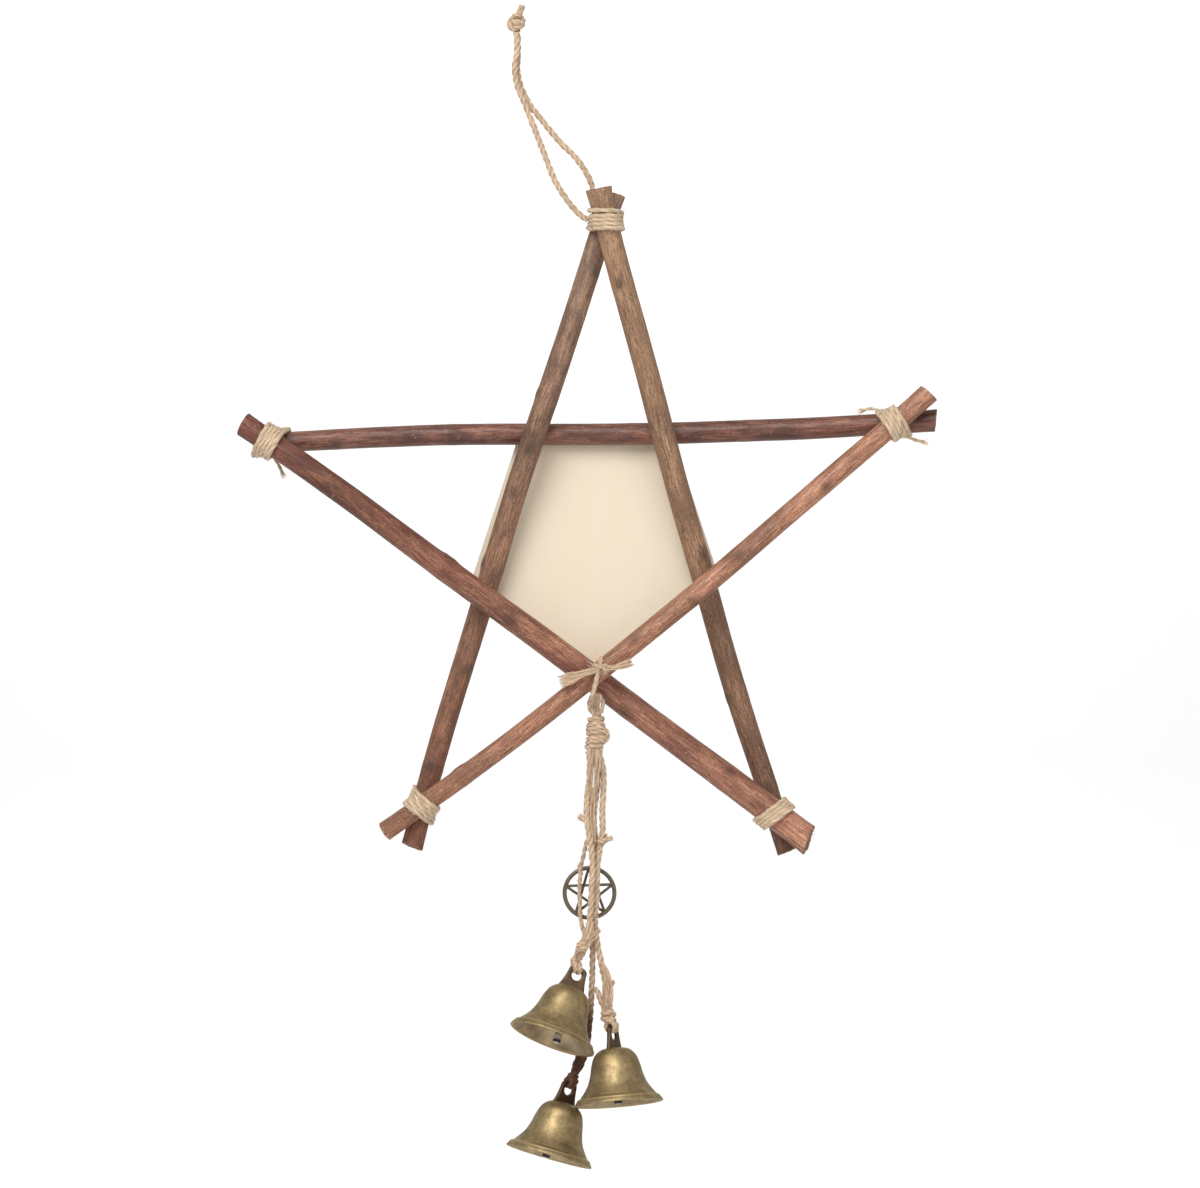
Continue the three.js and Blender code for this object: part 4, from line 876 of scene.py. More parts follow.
def knot_parts(centre, radius, diameter, seed):
    """Small overhand knot: turns of the cord wrapped round the upright strand,
    centre + (r cos a, r sin a, -pitch a / 2 pi), each tipped sideways by KNOT_TILT."""
    angle = np.linspace(0, TAU * KNOT_TURNS, int(KNOT_TURNS * 60) + 1) + seed
    pitch = diameter * 0.95
    level = pitch * (angle - seed) / TAU - pitch * KNOT_TURNS / 2
    path = np.stack([centre[0] + radius * np.cos(angle), centre[1] + radius * np.sin(angle),
                     centre[2] - level + KNOT_TILT * np.cos(angle)], -1)
    return cord_parts(resample(path, 0.4), diameter, (0, 0, 1), seed, pitch=8.0, per_mm=1.5, ends=(0.6, 0.6))


def ring_path(centre, across, up, half_across, half_up, count=60):
    """Ellipse in the plane of two unit directions."""
    angle = TAU * np.arange(count) / count
    return (np.asarray(centre, float) + half_across * np.cos(angle)[:, None] * np.asarray(across, float)
            + half_up * np.sin(angle)[:, None] * np.asarray(up, float))


# Bells


def turn_matrix(lean, tip, turn):
    """Turn about Z by turn, then about X by -tip, then about Y by lean."""
    y, x, z = math.radians(lean), -math.radians(tip), math.radians(turn)
    about_y = np.array([[math.cos(y), 0, math.sin(y)], [0, 1, 0], [-math.sin(y), 0, math.cos(y)]])
    about_x = np.array([[1, 0, 0], [0, math.cos(x), -math.sin(x)], [0, math.sin(x), math.cos(x)]])
    about_z = np.array([[math.cos(z), -math.sin(z), 0], [math.sin(z), math.cos(z), 0], [0, 0, 1]])
    return about_y @ about_x @ about_z


CROWN = -EAR["hole_height"]
RIM = CROWN - BELL_HEIGHT
STAPLE = CROWN - BELL_WALL * 0.7


def put(part, matrix, hole):
    """A shell turned by a matrix and moved to a bell's hole; its rest places stay."""
    points, quads, fans, rest, marks = part
    return points @ matrix.T + np.asarray(hole), quads, fans, rest, marks


def bell_shell(seed):
    """Cast bell: a profile turned about the axis. Outside it runs from the crown down the waist to the
    flare, with a raised bead over the rim and a groove over the bead, each height
    exp(-((z - place) / width)^2), round the rim, and back up inside at the wall's thickness."""
    outer = np.array([(r, 0.0, RIM + share * BELL_HEIGHT) for r, share in BELL_PROFILE][::-1])
    outer = smooth(np.vstack([[(0.4, 0, CROWN)], outer]), 0.35)[:, [0, 2]]
    height = outer[:, 1] - RIM
    slope = unit(np.gradient(outer, axis=0))
    normal = np.stack([-slope[:, 1], slope[:, 0]], -1)
    bead, groove_shade = (tall * hump(height, place, width) for tall, place, width in (BEAD, GROOVE))
    bead = bead - groove_shade
    skin = outer + normal * bead[:, None]
    inner = (outer - normal * BELL_WALL)[::-1]
    inner = inner[(inner[:, 1] > RIM + 0.5) & (inner[:, 0] > 0.3)]
    bend = np.linspace(0, math.pi, 9)[1:-1, None]
    edge = (skin[-1] + inner[0]) / 2 + (skin[-1] - inner[0]) / 2 * np.cos(bend) + [0.0, -0.55] * np.sin(bend)
    profile = np.vstack([skin, edge, inner])
    wear = np.concatenate([np.clip(bead / BEAD[0], 0, 1) * 0.8, np.full(len(edge), 0.3),
                           np.zeros(len(inner))])
    inside = np.repeat([0.0, 1.0], [len(skin) + len(edge), len(inner)])
    angle = TAU * np.arange(96) / 96
    radius = profile[:, :1] * (1 + 0.004 * waves(seed + 1, 4, 1, 3)(angle)[None])
    x, y = radius * np.cos(angle), radius * np.sin(angle)
    z = profile[:, 1:] + 0 * x
    dent = 0.06 * waves(seed, 8, 0.1, 0.5)(x, y, z)
    grid = np.stack([x + dent * np.cos(angle), y + dent * np.sin(angle), z], -1)
    return shell(grid, rest=grid + seed * 50.0, mark=wear[:, None], tone=inside[:, None])


def ear_shell():
    """Cast ear with hollow flanks: a closed ring whose section runs from the lug's outline to the hole's
    edge. A place on it is outline (1 - w) + hole w, where w and the depth go round a rectangle with its
    corners cut."""
    foot, top = CROWN - EAR["sink"] - EAR_ROOT, EAR["height"] - EAR["hole_height"]
    shoulder, corner = EAR["shoulder"] / 2, EAR["top"] / 2
    bend = np.linspace(0, 1, 9)[:, None]

    def curve(a, b, c):
        return (1 - bend) ** 2 * np.array(a) + 2 * bend * (1 - bend) * np.array(b) + bend ** 2 * np.array(c)

    right = curve((shoulder, top - EAR["drop"]), (corner, top), (0, top))
    left = curve((0, top), (-corner, top), (-shoulder, top - EAR["drop"]))
    base, waist = EAR["base"] / 2, (foot + top) / 2 - EAR_HOLLOW
    right_flank = curve((base, foot), (shoulder + 0.5, waist), (shoulder, top - EAR["drop"]))
    left_flank = right_flank[::-1] * (-1, 1)
    outline = np.vstack([[(-base, foot)], right_flank, right[1:], left[1:], left_flank[1:]])
    outline = resample(np.insert(outline, 1, 0.0, axis=1), 0.6)[:-1]
    angle = np.arctan2(outline[:, 2], outline[:, 0])
    hole = EAR["hole"] * np.stack([np.cos(angle), 0 * angle, np.sin(angle)], -1)
    half, cut = EAR["thickness"] / 2, EAR_CUT
    w = np.array([0, 0, cut * 0.6, cut * 1.6, 1 - cut, 1, 1, 1 - cut, cut * 1.6, cut * 0.6])
    depth = np.array([-0.55, 0.55, 0.92, 1.0, 1.0, 0.6, -0.6, -1.0, -1.0, -0.92]) * half
    grid = outline[:, None] * (1 - w)[None, :, None] + hole[:, None] * w[None, :, None]
    grid[..., 1] = depth[None]
    return shell(grid, along=True, mark=-0.85)


def clapper_shells(bell):
    """Clapper: a wire ring through the staple, a rod and a round weight with an eased end."""
    matrix = turn_matrix(bell["lean"], bell["tip"], bell["turn"])
    hole = np.array(bell["hole"])
    seat = STAPLE - LINK_RADIUS + 2 * LINK_WIRE + TOUCH + LINK_EASE
    pivot = matrix @ np.array([0, 0, seat - LINK_RADIUS]) + hole
    tip = np.array(bell["clapper"])
    down = unit(tip - pivot)
    tip = tip + down * bell["reach"]
    normal = matrix @ np.array([1.0, 0, 0])
    across = unit(np.cross(down, normal))
    ring = ring_path(pivot, across, down, LINK_RADIUS, LINK_RADIUS, 40)
    top = pivot + down * LINK_RADIUS
    length = np.linalg.norm(tip - top)
    steps = np.linspace(0, 1, 60)
    rod = top + down * length * steps[:, None]
    from_tip = length * (1 - steps)
    weight = 1.0 + 0.75 / (1 + np.exp((from_tip - 4.2) * 4)) - 0.6 * hump(from_tip, 0, 0.35)
    # the end is dark but for its bright cap
    dark = (from_tip > 0.25) / (1 + np.exp((from_tip - bell["dark"]) * 5))
    return [tube(ring, LINK_WIRE, np.cross(across, down), sides=10, closed=True),
            tube(rod, weight, normal, sides=20, mark=dark[:, None])]


# Charm


def charm_shells():
    """Charm: a round ring with a flattened section, and five straight bars between every second of five
    points on it, each passing over one neighbour and under the other."""
    centre = np.array(CHARM["centre"])
    turn = math.radians(CHARM["turn"])
    across, up = np.array([math.cos(turn), 0, -math.sin(turn)]), np.array([math.sin(turn), 0, math.cos(turn)])
    middle = CHARM["radius"] - CHARM["rim"] / 2
    ring = ring_path(centre, across, up, middle, middle, 96)
    parts = [tube(ring, CHARM["rim"] / 2, (0, 1, 0), sides=12, closed=True, boxy=0.75, mark=0.5,
                  flat=CHARM["rim"] / CHARM["thickness"])]
    for corner in range(5):
        a, b = (math.pi / 2 + TAU * k / 5 for k in (corner, corner + 2))
        start, end = (centre + middle * (math.cos(k) * across + math.sin(k) * up) for k in (a, b))
        share = np.linspace(0, 1, 40)
        path = start + (end - start) * share[:, None]
        path = path + np.array([0, 0.22, 0]) * np.sin(TAU * (share - 0.5))[:, None]
        parts.append(tube(path, CHARM["bar"] / 2, (0, 1, 0), sides=10, boxy=0.75, mark=0.2))
    return parts


# Plate


def plate_place():
    """Middle of the plate and its lean, read from the CAD plate: the mean of its corners, and the slope from
    its low corners to its high ones."""
    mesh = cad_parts["pentagon_plate"].data
    corners = np.empty(len(mesh.vertices) * 3, np.float32)
    mesh.vertices.foreach_get("co", corners)
    corners = np.unique(np.round(corners.reshape(-1, 3) / MM, 3), axis=0)
    middle = corners.mean(0)
    high = corners[corners[:, 2] > middle[2] + 20]
    low = corners[corners[:, 2] < middle[2] - 40]
    lean = math.atan2(high[:, 1].mean() - low[:, 1].mean(), high[:, 2].mean() - low[:, 2].mean())
    return middle, lean


def plate_shell():
    """Pentagon sheet: its outline, one corner down, is scaled inwards ring by ring over the front face, the
    cut edge, which is eased by 0.15 mm, and the back face, and it waves by 0.12 mm."""
    middle, lean = plate_place()
    corner = TAU * np.arange(5) / 5 - math.pi / 2
    tips = PLATE_RADIUS * np.stack([np.cos(corner), np.sin(corner)], -1)
    share = np.linspace(0, 1, 24, endpoint=False)[None, :, None]
    outline = (tips[:, None] * (1 - share) + np.roll(tips, -1, 0)[:, None] * share).reshape(-1, 2)
    flat = outline[None] * (1 - PLATE_INSET / PLATE_RADIUS)[:, None, None]
    x, z = flat[..., 0], flat[..., 1]
    y = (PLATE_DEPTH * PLATE_THICKNESS / 2)[:, None] + 0.12 * np.sin(x / 40 + 1) * np.cos(z / 50)
    edge = np.where(np.abs(PLATE_DEPTH) < 1, 1.0, 0.0)[:, None]
    c, s = math.cos(lean), math.sin(lean)
    grid = np.stack([middle[0] + x, middle[1] + y * c + z * s, middle[2] + z * c - y * s], -1)
    return shell(grid, rest=np.stack([x, y, z], -1), mark=edge)


# Materials


def add_node(tree, kind, inputs=None, stops=None, **settings):
    """Adds one node with its settings, its sockets' values or links, and a ramp's stops, and gives its
    first output in use. Sockets are named among those in use."""
    node = tree.nodes.new(kind)
    for key, value in settings.items():
        setattr(node, key, value)
    sockets = {socket.name: socket for socket in reversed(node.inputs) if socket.enabled}
    for key, value in (inputs or {}).items():
        socket = node.inputs[key] if isinstance(key, int) else sockets[key]
        if isinstance(value, bpy.types.NodeSocket):
            tree.links.new(value, socket)
        elif socket.type == "RGBA":
            socket.default_value = (*value[:3], 1)
        else:
            socket.default_value = value
    for number, (place, shade) in enumerate(stops or []):
        stop = node.color_ramp.elements[number] if number < 2 else node.color_ramp.elements.new(place)
        stop.position = place
        stop.color = (shade, shade, shade, 1) if isinstance(shade, float) else (*shade, 1)
    return next((socket for socket in node.outputs if socket.enabled), None)


def new_material(name):
    """Empty node material, the piece's own straight coordinates, and its two painted masks."""
    material = bpy.data.materials.new(name)
    material.use_nodes = True
    tree = material.node_tree
    tree.nodes.clear()
    rest = add_node(tree, "ShaderNodeAttribute", attribute_name="rest").node.outputs["Vector"]
    mark = add_node(tree, "ShaderNodeAttribute", attribute_name="mark").node.outputs["Fac"]
    tone = add_node(tree, "ShaderNodeAttribute", attribute_name="tone").node.outputs["Fac"]
    return tree, rest, mark, tone


def bark_material(name, base, bark, along):
    """Smooth willow bark: dried, slightly glossy young bark, with fibres that run along the rod, darker
    weathered patches, pale lenticels under 1 mm long and wrinkles 0.3 mm apart. Its tint drifts along the
    rod, whose first and last places on the pattern are given in metres."""
    tree, rest, cut, scar = new_material(name)
    fleck, patch = linear(bark["fleck"]), linear(bark["patch"])
    deep = tuple(c * 0.38 for c in base)
    pale = tuple(min(1.0, 0.65 * c * 1.45 + 0.35 * f) for c, f in zip(base, fleck))
    long = add_node(tree, "ShaderNodeMapping", {"Vector": rest, "Scale": (1, 1, 0.075)})
    short = add_node(tree, "ShaderNodeMapping", {"Vector": rest, "Scale": (1, 1, 0.35)})
    near = add_node(tree, "ShaderNodeMapping", {"Vector": rest, "Scale": (1, 1, 0.6)})
    # fibres about 0.7 mm apart, grit of 0.3 mm, patches 6 mm wide and drawn out along the rod
    streak = add_node(tree, "ShaderNodeTexNoise", {"Vector": long, "Scale": 1500.0, "Detail": 6.0,
                                                   "Roughness": 0.78})
    grain = add_node(tree, "ShaderNodeTexNoise", {"Vector": short, "Scale": 3200.0, "Detail": 3.0})
    broad = add_node(tree, "ShaderNodeTexNoise", {"Vector": short, "Scale": 170.0, "Detail": 6.0,
                                                  "Roughness": 0.65})
    slow = add_node(tree, "ShaderNodeTexNoise", {"Vector": rest, "Scale": 30.0, "Detail": 2.0})
    speck = add_node(tree, "ShaderNodeTexVoronoi", {"Vector": near, "Scale": 560.0})
    flaw = add_node(tree, "ShaderNodeTexVoronoi", {"Vector": rest, "Scale": 260.0})
    tint = add_node(tree, "ShaderNodeValToRGB", {"Fac": streak},
                    stops=[(0.39, deep), (0.5, base), (0.61, pale)])
    cloud = add_node(tree, "ShaderNodeValToRGB", {"Fac": broad}, stops=[(0.38, 0.2), (0.58, 1.0)])
    body = add_node(tree, "ShaderNodeMix", {"Factor": cloud, "A": patch, "B": tint}, data_type="RGBA")
    coarse = add_node(tree, "ShaderNodeValToRGB", {"Fac": grain}, stops=[(0.36, 0.66), (0.62, 1.16)])
    weather = add_node(tree, "ShaderNodeValToRGB", {"Fac": slow}, stops=[(0.35, 0.8), (0.65, 1.15)])
    place = add_node(tree, "ShaderNodeSeparateXYZ", {"Vector": rest}).node.outputs["Z"]
    share = add_node(tree, "ShaderNodeMapRange", {"Value": place, "From Min": along[0], "From Max": along[1]})
    drift = add_node(tree, "ShaderNodeMix", {"Factor": share, "A": bark["start"], "B": bark["end"]},
                     data_type="RGBA")
    for layer in (coarse, weather, drift):
        body = add_node(tree, "ShaderNodeMix", {"Factor": 1.0, "A": body, "B": layer}, data_type="RGBA",
                        blend_type="MULTIPLY")
    # pale lenticels in half of the cells and dark specks in a third
    dot = add_node(tree, "ShaderNodeValToRGB", {"Fac": speck}, stops=[(0.1, 0.42), (0.24, 0.0)])
    rare = add_node(tree, "ShaderNodeMath", {0: speck.node.outputs["Color"], 1: 0.5},
                    operation="GREATER_THAN")
    dots = add_node(tree, "ShaderNodeMath", {0: dot, 1: rare}, operation="MULTIPLY")
    body = add_node(tree, "ShaderNodeMix", {"Factor": dots, "A": body, "B": fleck}, data_type="RGBA")
    spot = add_node(tree, "ShaderNodeValToRGB", {"Fac": flaw}, stops=[(0.08, 0.75), (0.2, 0.0)])
    seldom = add_node(tree, "ShaderNodeMath", {0: flaw.node.outputs["Color"], 1: 0.68},
                      operation="GREATER_THAN")
    spots = add_node(tree, "ShaderNodeMath", {0: spot, 1: seldom}, operation="MULTIPLY")
    dark = add_node(tree, "ShaderNodeMath", {0: spots, 1: scar}, operation="MAXIMUM")
    half = add_node(tree, "ShaderNodeMath", {0: dark, 1: 0.6}, operation="MULTIPLY")
    body = add_node(tree, "ShaderNodeMix", {"Factor": half, "A": body, "B": tuple(c * 0.35 for c in deep)},
                    data_type="RGBA")
    # cut ends: sapwood with rings 0.7 mm apart, browned by air
    flat = add_node(tree, "ShaderNodeMapping", {"Vector": rest, "Scale": (1, 1, 0)})
    rings = add_node(tree, "ShaderNodeTexWave", {"Vector": flat, "Scale": 230.0, "Distortion": 2.0,
                                                 "Detail": 2.0},
                     wave_type="RINGS", rings_direction="SPHERICAL").node.outputs["Fac"]
    wood = add_node(tree, "ShaderNodeValToRGB", {"Fac": rings},
                    stops=[(0.1, linear("#7a5440")), (0.8, linear("#b08a68"))])
    grit = add_node(tree, "ShaderNodeTexNoise", {"Vector": rest, "Scale": 900.0, "Detail": 3.0})
    shade = add_node(tree, "ShaderNodeValToRGB", {"Fac": grit}, stops=[(0.35, 0.55), (0.65, 1.05)])
    wood = add_node(tree, "ShaderNodeMix", {"Factor": 1.0, "A": wood, "B": shade}, data_type="RGBA",
                    blend_type="MULTIPLY")
    colour = add_node(tree, "ShaderNodeMix", {"Factor": cut, "A": body, "B": wood}, data_type="RGBA")
    rough = add_node(tree, "ShaderNodeMapRange", {"Value": broad, "To Min": bark["rough"] - 0.06,
                                                  "To Max": bark["rough"] + 0.18})
    matt = add_node(tree, "ShaderNodeMath", {0: rough, 1: cut}, operation="MAXIMUM")
    fine = add_node(tree, "ShaderNodeMath", {0: streak, 1: dots}, operation="ADD")
    bump = add_node(tree, "ShaderNodeBump", {"Height": fine, "Strength": 0.6, "Distance": 0.0005})
    skin = add_node(tree, "ShaderNodeBsdfPrincipled", {
        "Base Color": colour, "Roughness": matt, "Normal": bump, "IOR": 1.45, "Specular IOR Level": 0.45,
        "Coat Weight": bark["coat"], "Coat Roughness": 0.28})
    add_node(tree, "ShaderNodeOutputMaterial", {"Surface": skin})


def jute_material(name, pale, base, deep, dark):
    """Spun jute: dull, slightly glossy plant fibres that run along each strand. The mark attribute browns it:
    in the grooves between the strands this is painted shade, which leaves the crowns paler; on loose fibres
    it is partly their own random tone and partly painted shade. It is tinted darker where the tone attribute
    is high. Fibres are drawn 0.5 mm apart, coarser than the real ones, so that they show."""
    tree, rest, groove_shade, darkening = new_material(name)
    long = add_node(tree, "ShaderNodeMapping", {"Vector": rest, "Scale": (1, 1, 0.14)})
    fibre = add_node(tree, "ShaderNodeTexNoise", {"Vector": long, "Scale": 2100.0, "Detail": 5.0,
                                                  "Roughness": 0.7})
    lot = add_node(tree, "ShaderNodeTexNoise", {"Vector": rest, "Scale": 170.0, "Detail": 3.0})
    tint = add_node(tree, "ShaderNodeValToRGB", {"Fac": fibre},
                    stops=[(0.37, deep), (0.49, base), (0.6, pale)])
    shade = add_node(tree, "ShaderNodeValToRGB", {"Fac": lot}, stops=[(0.3, 0.8), (0.7, 1.08)])
    body = add_node(tree, "ShaderNodeMix", {"Factor": 1.0, "A": tint, "B": shade}, data_type="RGBA",
                    blend_type="MULTIPLY")
    # painted shade: the mark browns the jute towards its deep colour, in grooves and on shaded fibres
    depth = add_node(tree, "ShaderNodeMath", {0: groove_shade, 1: 0.5}, operation="MULTIPLY")
    body = add_node(tree, "ShaderNodeMix", {"Factor": depth, "A": body, "B": deep}, data_type="RGBA")
    dark_tint = add_node(tree, "ShaderNodeMix", {"Factor": darkening, "A": (1, 1, 1), "B": dark}, data_type="RGBA")
    colour = add_node(tree, "ShaderNodeMix", {"Factor": 1.0, "A": body, "B": dark_tint}, data_type="RGBA",
                      blend_type="MULTIPLY")
    bump = add_node(tree, "ShaderNodeBump", {"Height": fibre, "Strength": 0.6, "Distance": 0.00025})
    skin = add_node(tree, "ShaderNodeBsdfPrincipled", {
        "Base Color": colour, "Roughness": 0.82, "Normal": bump, "Specular IOR Level": 0.3,
        "Sheen Weight": 0.2, "Sheen Roughness": 0.5})
    add_node(tree, "ShaderNodeOutputMaterial", {"Surface": skin})


def plywood_material(name, face, line, scorch):
    """Basswood plywood: pale, sanded and unfinished, with faint upright grain lines 1.5 mm apart and a
    laser-cut edge browned by heat."""
    tree, rest, edge, _ = new_material(name)
    grain = add_node(tree, "ShaderNodeMapping", {"Vector": rest, "Scale": (1, 1, 0.035)})
    fine = add_node(tree, "ShaderNodeTexNoise", {"Vector": grain, "Scale": 650.0, "Detail": 6.0,
                                                 "Roughness": 0.6})
    slow = add_node(tree, "ShaderNodeTexNoise", {"Vector": grain, "Scale": 90.0, "Detail": 3.0})
    both = add_node(tree, "ShaderNodeMix", {"Factor": 0.45, "A": fine, "B": slow})
    tint = add_node(tree, "ShaderNodeValToRGB", {"Fac": both}, stops=[(0.33, line), (0.56, face)])
    colour = add_node(tree, "ShaderNodeMix", {"Factor": edge, "A": tint, "B": scorch}, data_type="RGBA")
    bump = add_node(tree, "ShaderNodeBump", {"Height": fine, "Strength": 0.15, "Distance": 0.0002})
    skin = add_node(tree, "ShaderNodeBsdfPrincipled", {
        "Base Color": colour, "Roughness": 0.62, "Normal": bump, "Specular IOR Level": 0.35})
    add_node(tree, "ShaderNodeOutputMaterial", {"Surface": skin})


def antique_material(name, bright, body, dark, roughness, size, bare, soot):
    """Antiqued cast metal: brass or bronze darkened by patina and rubbed back, so raised edges shine
    golden and hollows stay olive brown. Casting grain is 0.4 mm, patina clouds are about size mm, the
    unrubbed inside keeps a greyer colour, and a wear mask below zero shows sooty metal."""
    tree, rest, wear, inside = new_material(name)
    cloud = add_node(tree, "ShaderNodeTexNoise", {"Vector": rest, "Scale": 1000.0 / size, "Detail": 5.0,
                                                  "Roughness": 0.62})
    grit = add_node(tree, "ShaderNodeTexNoise", {"Vector": rest, "Scale": 2600.0, "Detail": 4.0})
    patina = add_node(tree, "ShaderNodeValToRGB", {"Fac": cloud},
                      stops=[(0.3, dark), (0.5, body), (0.72, bright)])
    speckle = add_node(tree, "ShaderNodeValToRGB", {"Fac": grit}, stops=[(0.34, 0.66), (0.62, 1.08)])
    skin = add_node(tree, "ShaderNodeMix", {"Factor": 1.0, "A": patina, "B": speckle}, data_type="RGBA",
                    blend_type="MULTIPLY")
    rubbed = add_node(tree, "ShaderNodeMix", {"Factor": wear, "A": skin, "B": bright}, data_type="RGBA")
    broad = add_node(tree, "ShaderNodeTexNoise", {"Vector": rest, "Scale": 90.0, "Detail": 4.0})
    smoke = add_node(tree, "ShaderNodeValToRGB", {"Fac": broad}, stops=[(0.35, 0.42), (0.66, 1.0)])
    lining = add_node(tree, "ShaderNodeMix", {"Factor": 1.0, "A": bare, "B": smoke}, data_type="RGBA",
                      blend_type="MULTIPLY")
    worn = add_node(tree, "ShaderNodeMix", {"Factor": inside, "A": rubbed, "B": lining}, data_type="RGBA")
    dull = add_node(tree, "ShaderNodeMath", {0: wear, 1: -1.0}, operation="MULTIPLY", use_clamp=True)
    colour = add_node(tree, "ShaderNodeMix", {"Factor": dull, "A": worn, "B": soot}, data_type="RGBA")
    gloss = add_node(tree, "ShaderNodeMapRange", {"Value": cloud, "To Min": roughness + 0.1,
                                                  "To Max": roughness - 0.06})
    bump = add_node(tree, "ShaderNodeBump", {"Height": grit, "Strength": 0.25, "Distance": 0.00008})
    skin = add_node(tree, "ShaderNodeBsdfPrincipled", {
        "Base Color": colour, "Roughness": gloss, "Normal": bump, "Metallic": 0.92})
    add_node(tree, "ShaderNodeOutputMaterial", {"Surface": skin})


def wire_material(name, bright, dark):
    """Plain steel clapper: a bare rod, and a weight darkened by its black oxide."""
    tree, rest, weight, _ = new_material(name)
    rub = add_node(tree, "ShaderNodeTexNoise", {"Vector": rest, "Scale": 700.0, "Detail": 3.0})
    shade = add_node(tree, "ShaderNodeValToRGB", {"Fac": rub}, stops=[(0.3, 0.7), (0.7, 1.1)])
    body = add_node(tree, "ShaderNodeMix", {"Factor": weight, "A": bright, "B": dark}, data_type="RGBA")
    colour = add_node(tree, "ShaderNodeMix", {"Factor": 1.0, "A": body, "B": shade}, data_type="RGBA",
                      blend_type="MULTIPLY")
    gloss = add_node(tree, "ShaderNodeMapRange", {"Value": rub, "To Min": 0.3, "To Max": 0.5})
    skin = add_node(tree, "ShaderNodeBsdfPrincipled", {
        "Base Color": colour, "Roughness": gloss, "Metallic": 0.6})
    add_node(tree, "ShaderNodeOutputMaterial", {"Surface": skin})


def floor_material(name):
    """Matt white studio paper: no pattern that shows, only a faint tooth."""
    tree, _, _, _ = new_material(name)
    place = add_node(tree, "ShaderNodeTexCoord").node.outputs["Object"]
    tooth = add_node(tree, "ShaderNodeTexNoise", {"Vector": place, "Scale": 900.0})
    bump = add_node(tree, "ShaderNodeBump", {"Height": tooth, "Strength": 0.05, "Distance": 0.0001})
    skin = add_node(tree, "ShaderNodeBsdfPrincipled", {"Base Color": (0.93, 0.93, 0.93), "Roughness": 0.9,
                                                       "Normal": bump, "Specular IOR Level": 0.1})
    add_node(tree, "ShaderNodeOutputMaterial", {"Surface": skin})


# Properties


def colour_property(label, words, code):
    """Colour picker whose default is an sRGB hex value."""
    return FloatVectorProperty(name=label, description=words, subtype="COLOR", size=3, min=0, max=1,
                               default=linear(code))


def length_property(label, words, value):
    """Length in metres."""
    return FloatProperty(name=label, description=words, default=value * MM, min=0.0, unit="LENGTH",
                         subtype="DISTANCE", precision=5)


class WillowStarSizes(PropertyGroup):
    """Sizes that can be changed without moving the frame."""

    cord: length_property("Cord", "Diameter of the loop's and the bells' jute cord", 2.8)
    twine: length_property("Twine", "Diameter of the lashing twine", 2.2)
    strand: length_property("Strand", "Diameter of the charm's strand", 2.0)
    ply_pitch: length_property("Ply pitch", "Length of one full twist of the cord's strands", 10.0)
    bark_relief: FloatProperty(name="Bark relief", description="How strongly the bark waves and wanders",
                               default=1.0, min=0.0, max=2.0)
    fuzz: FloatProperty(name="Fuzz", description="Stray fibres on each millimetre of cord", default=3.2,
                        min=0.0, max=6.0)


class WillowStarColours(PropertyGroup):
    """Colours of the bark, jute, plywood and metals."""

    left_leg: colour_property("Left leg", "Grey-brown bark of the left leg", "#b08a70")
    right_leg: colour_property("Right leg", "Olive-brown bark of the right leg", "#b28a6c")
    crossbar: colour_property("Crossbar", "Dark purple-brown bark of the crossbar", "#945e49")
    left_diagonal: colour_property("Left diagonal", "Red-brown bark of the left diagonal", "#ae785c")
    right_diagonal: colour_property("Right diagonal", "Warm tan bark of the right diagonal", "#c78b6c")
    jute: colour_property("Jute", "Middle colour of the jute", "#eed1b2")
    plywood: colour_property("Plywood", "Face of the plywood", "#f3e4cc")
    brass: colour_property("Brass", "Rubbed brass of the bells", "#d2b888")
    bronze: colour_property("Bronze", "Dark casting of the charm", "#8c7f6c")
    steel: colour_property("Steel", "Bare clapper rod", "#eeebe2")


# Operators


class WILLOWSTAR_OT_camera(Operator):
    """Places the camera in front, at the height of the piece's middle"""

    bl_idname = "willowstar.camera"
    bl_label = "Camera"

    def execute(self, context):
        """Long lens straight on: the frame is 516 mm wide at the wall hanging's own depth."""
        data = bpy.data.cameras.new("front_camera")
        data.sensor_fit = "HORIZONTAL"
        data.lens = data.sensor_width * CAMERA_DISTANCE / CAMERA_WIDTH
        data.clip_end = 30
        camera = placed("front_camera", data)
        camera.location = (CAMERA_PLACE[0], -CAMERA_DISTANCE, CAMERA_PLACE[1])
        camera.rotation_euler = (math.radians(90), 0, 0)
        context.scene.camera = camera
        return {"FINISHED"}


class WILLOWSTAR_OT_loop(Operator):
    """Makes the hanging loop: its two strands and their overhand knot"""

    bl_idname = "willowstar.loop"
    bl_label = "Hanging loop"

    def execute(self, context):
        sizes = context.scene.willow_star_sizes
        diameter, pitch = sizes.cord / MM, sizes.ply_pitch / MM
        knot = []
        for points, share, facing, seed, end in LOOP_KNOT:
            knot += cord_parts(smooth(points, 0.35), diameter * share, facing, seed, pitch=pitch,
                               ends=(end, end))
        knot.append(brush(np.array(LOOP_KNOT_TIP), (0.3, 0, 1), 24, 1.2, 1.0, 35))
        knot = piece("loop_knot_cord", knot, "spun_jute", ["loop_knot"])
        strands = (("left", LOOP_LEFT, 21, [knot]), ("right", LOOP_RIGHT, 25, []))
        for side, points, seed, far_pieces in strands:
            path = smooth(points[::-1], 0.5)
            strand = cord_parts(path, diameter, (0, 1, 0), seed, pitch=pitch, per_mm=sizes.fuzz)
            strand = piece(f"loop_{side}_cord", strand, "spun_jute", [f"loop_{side}_strand"])
        return {"FINISHED"}


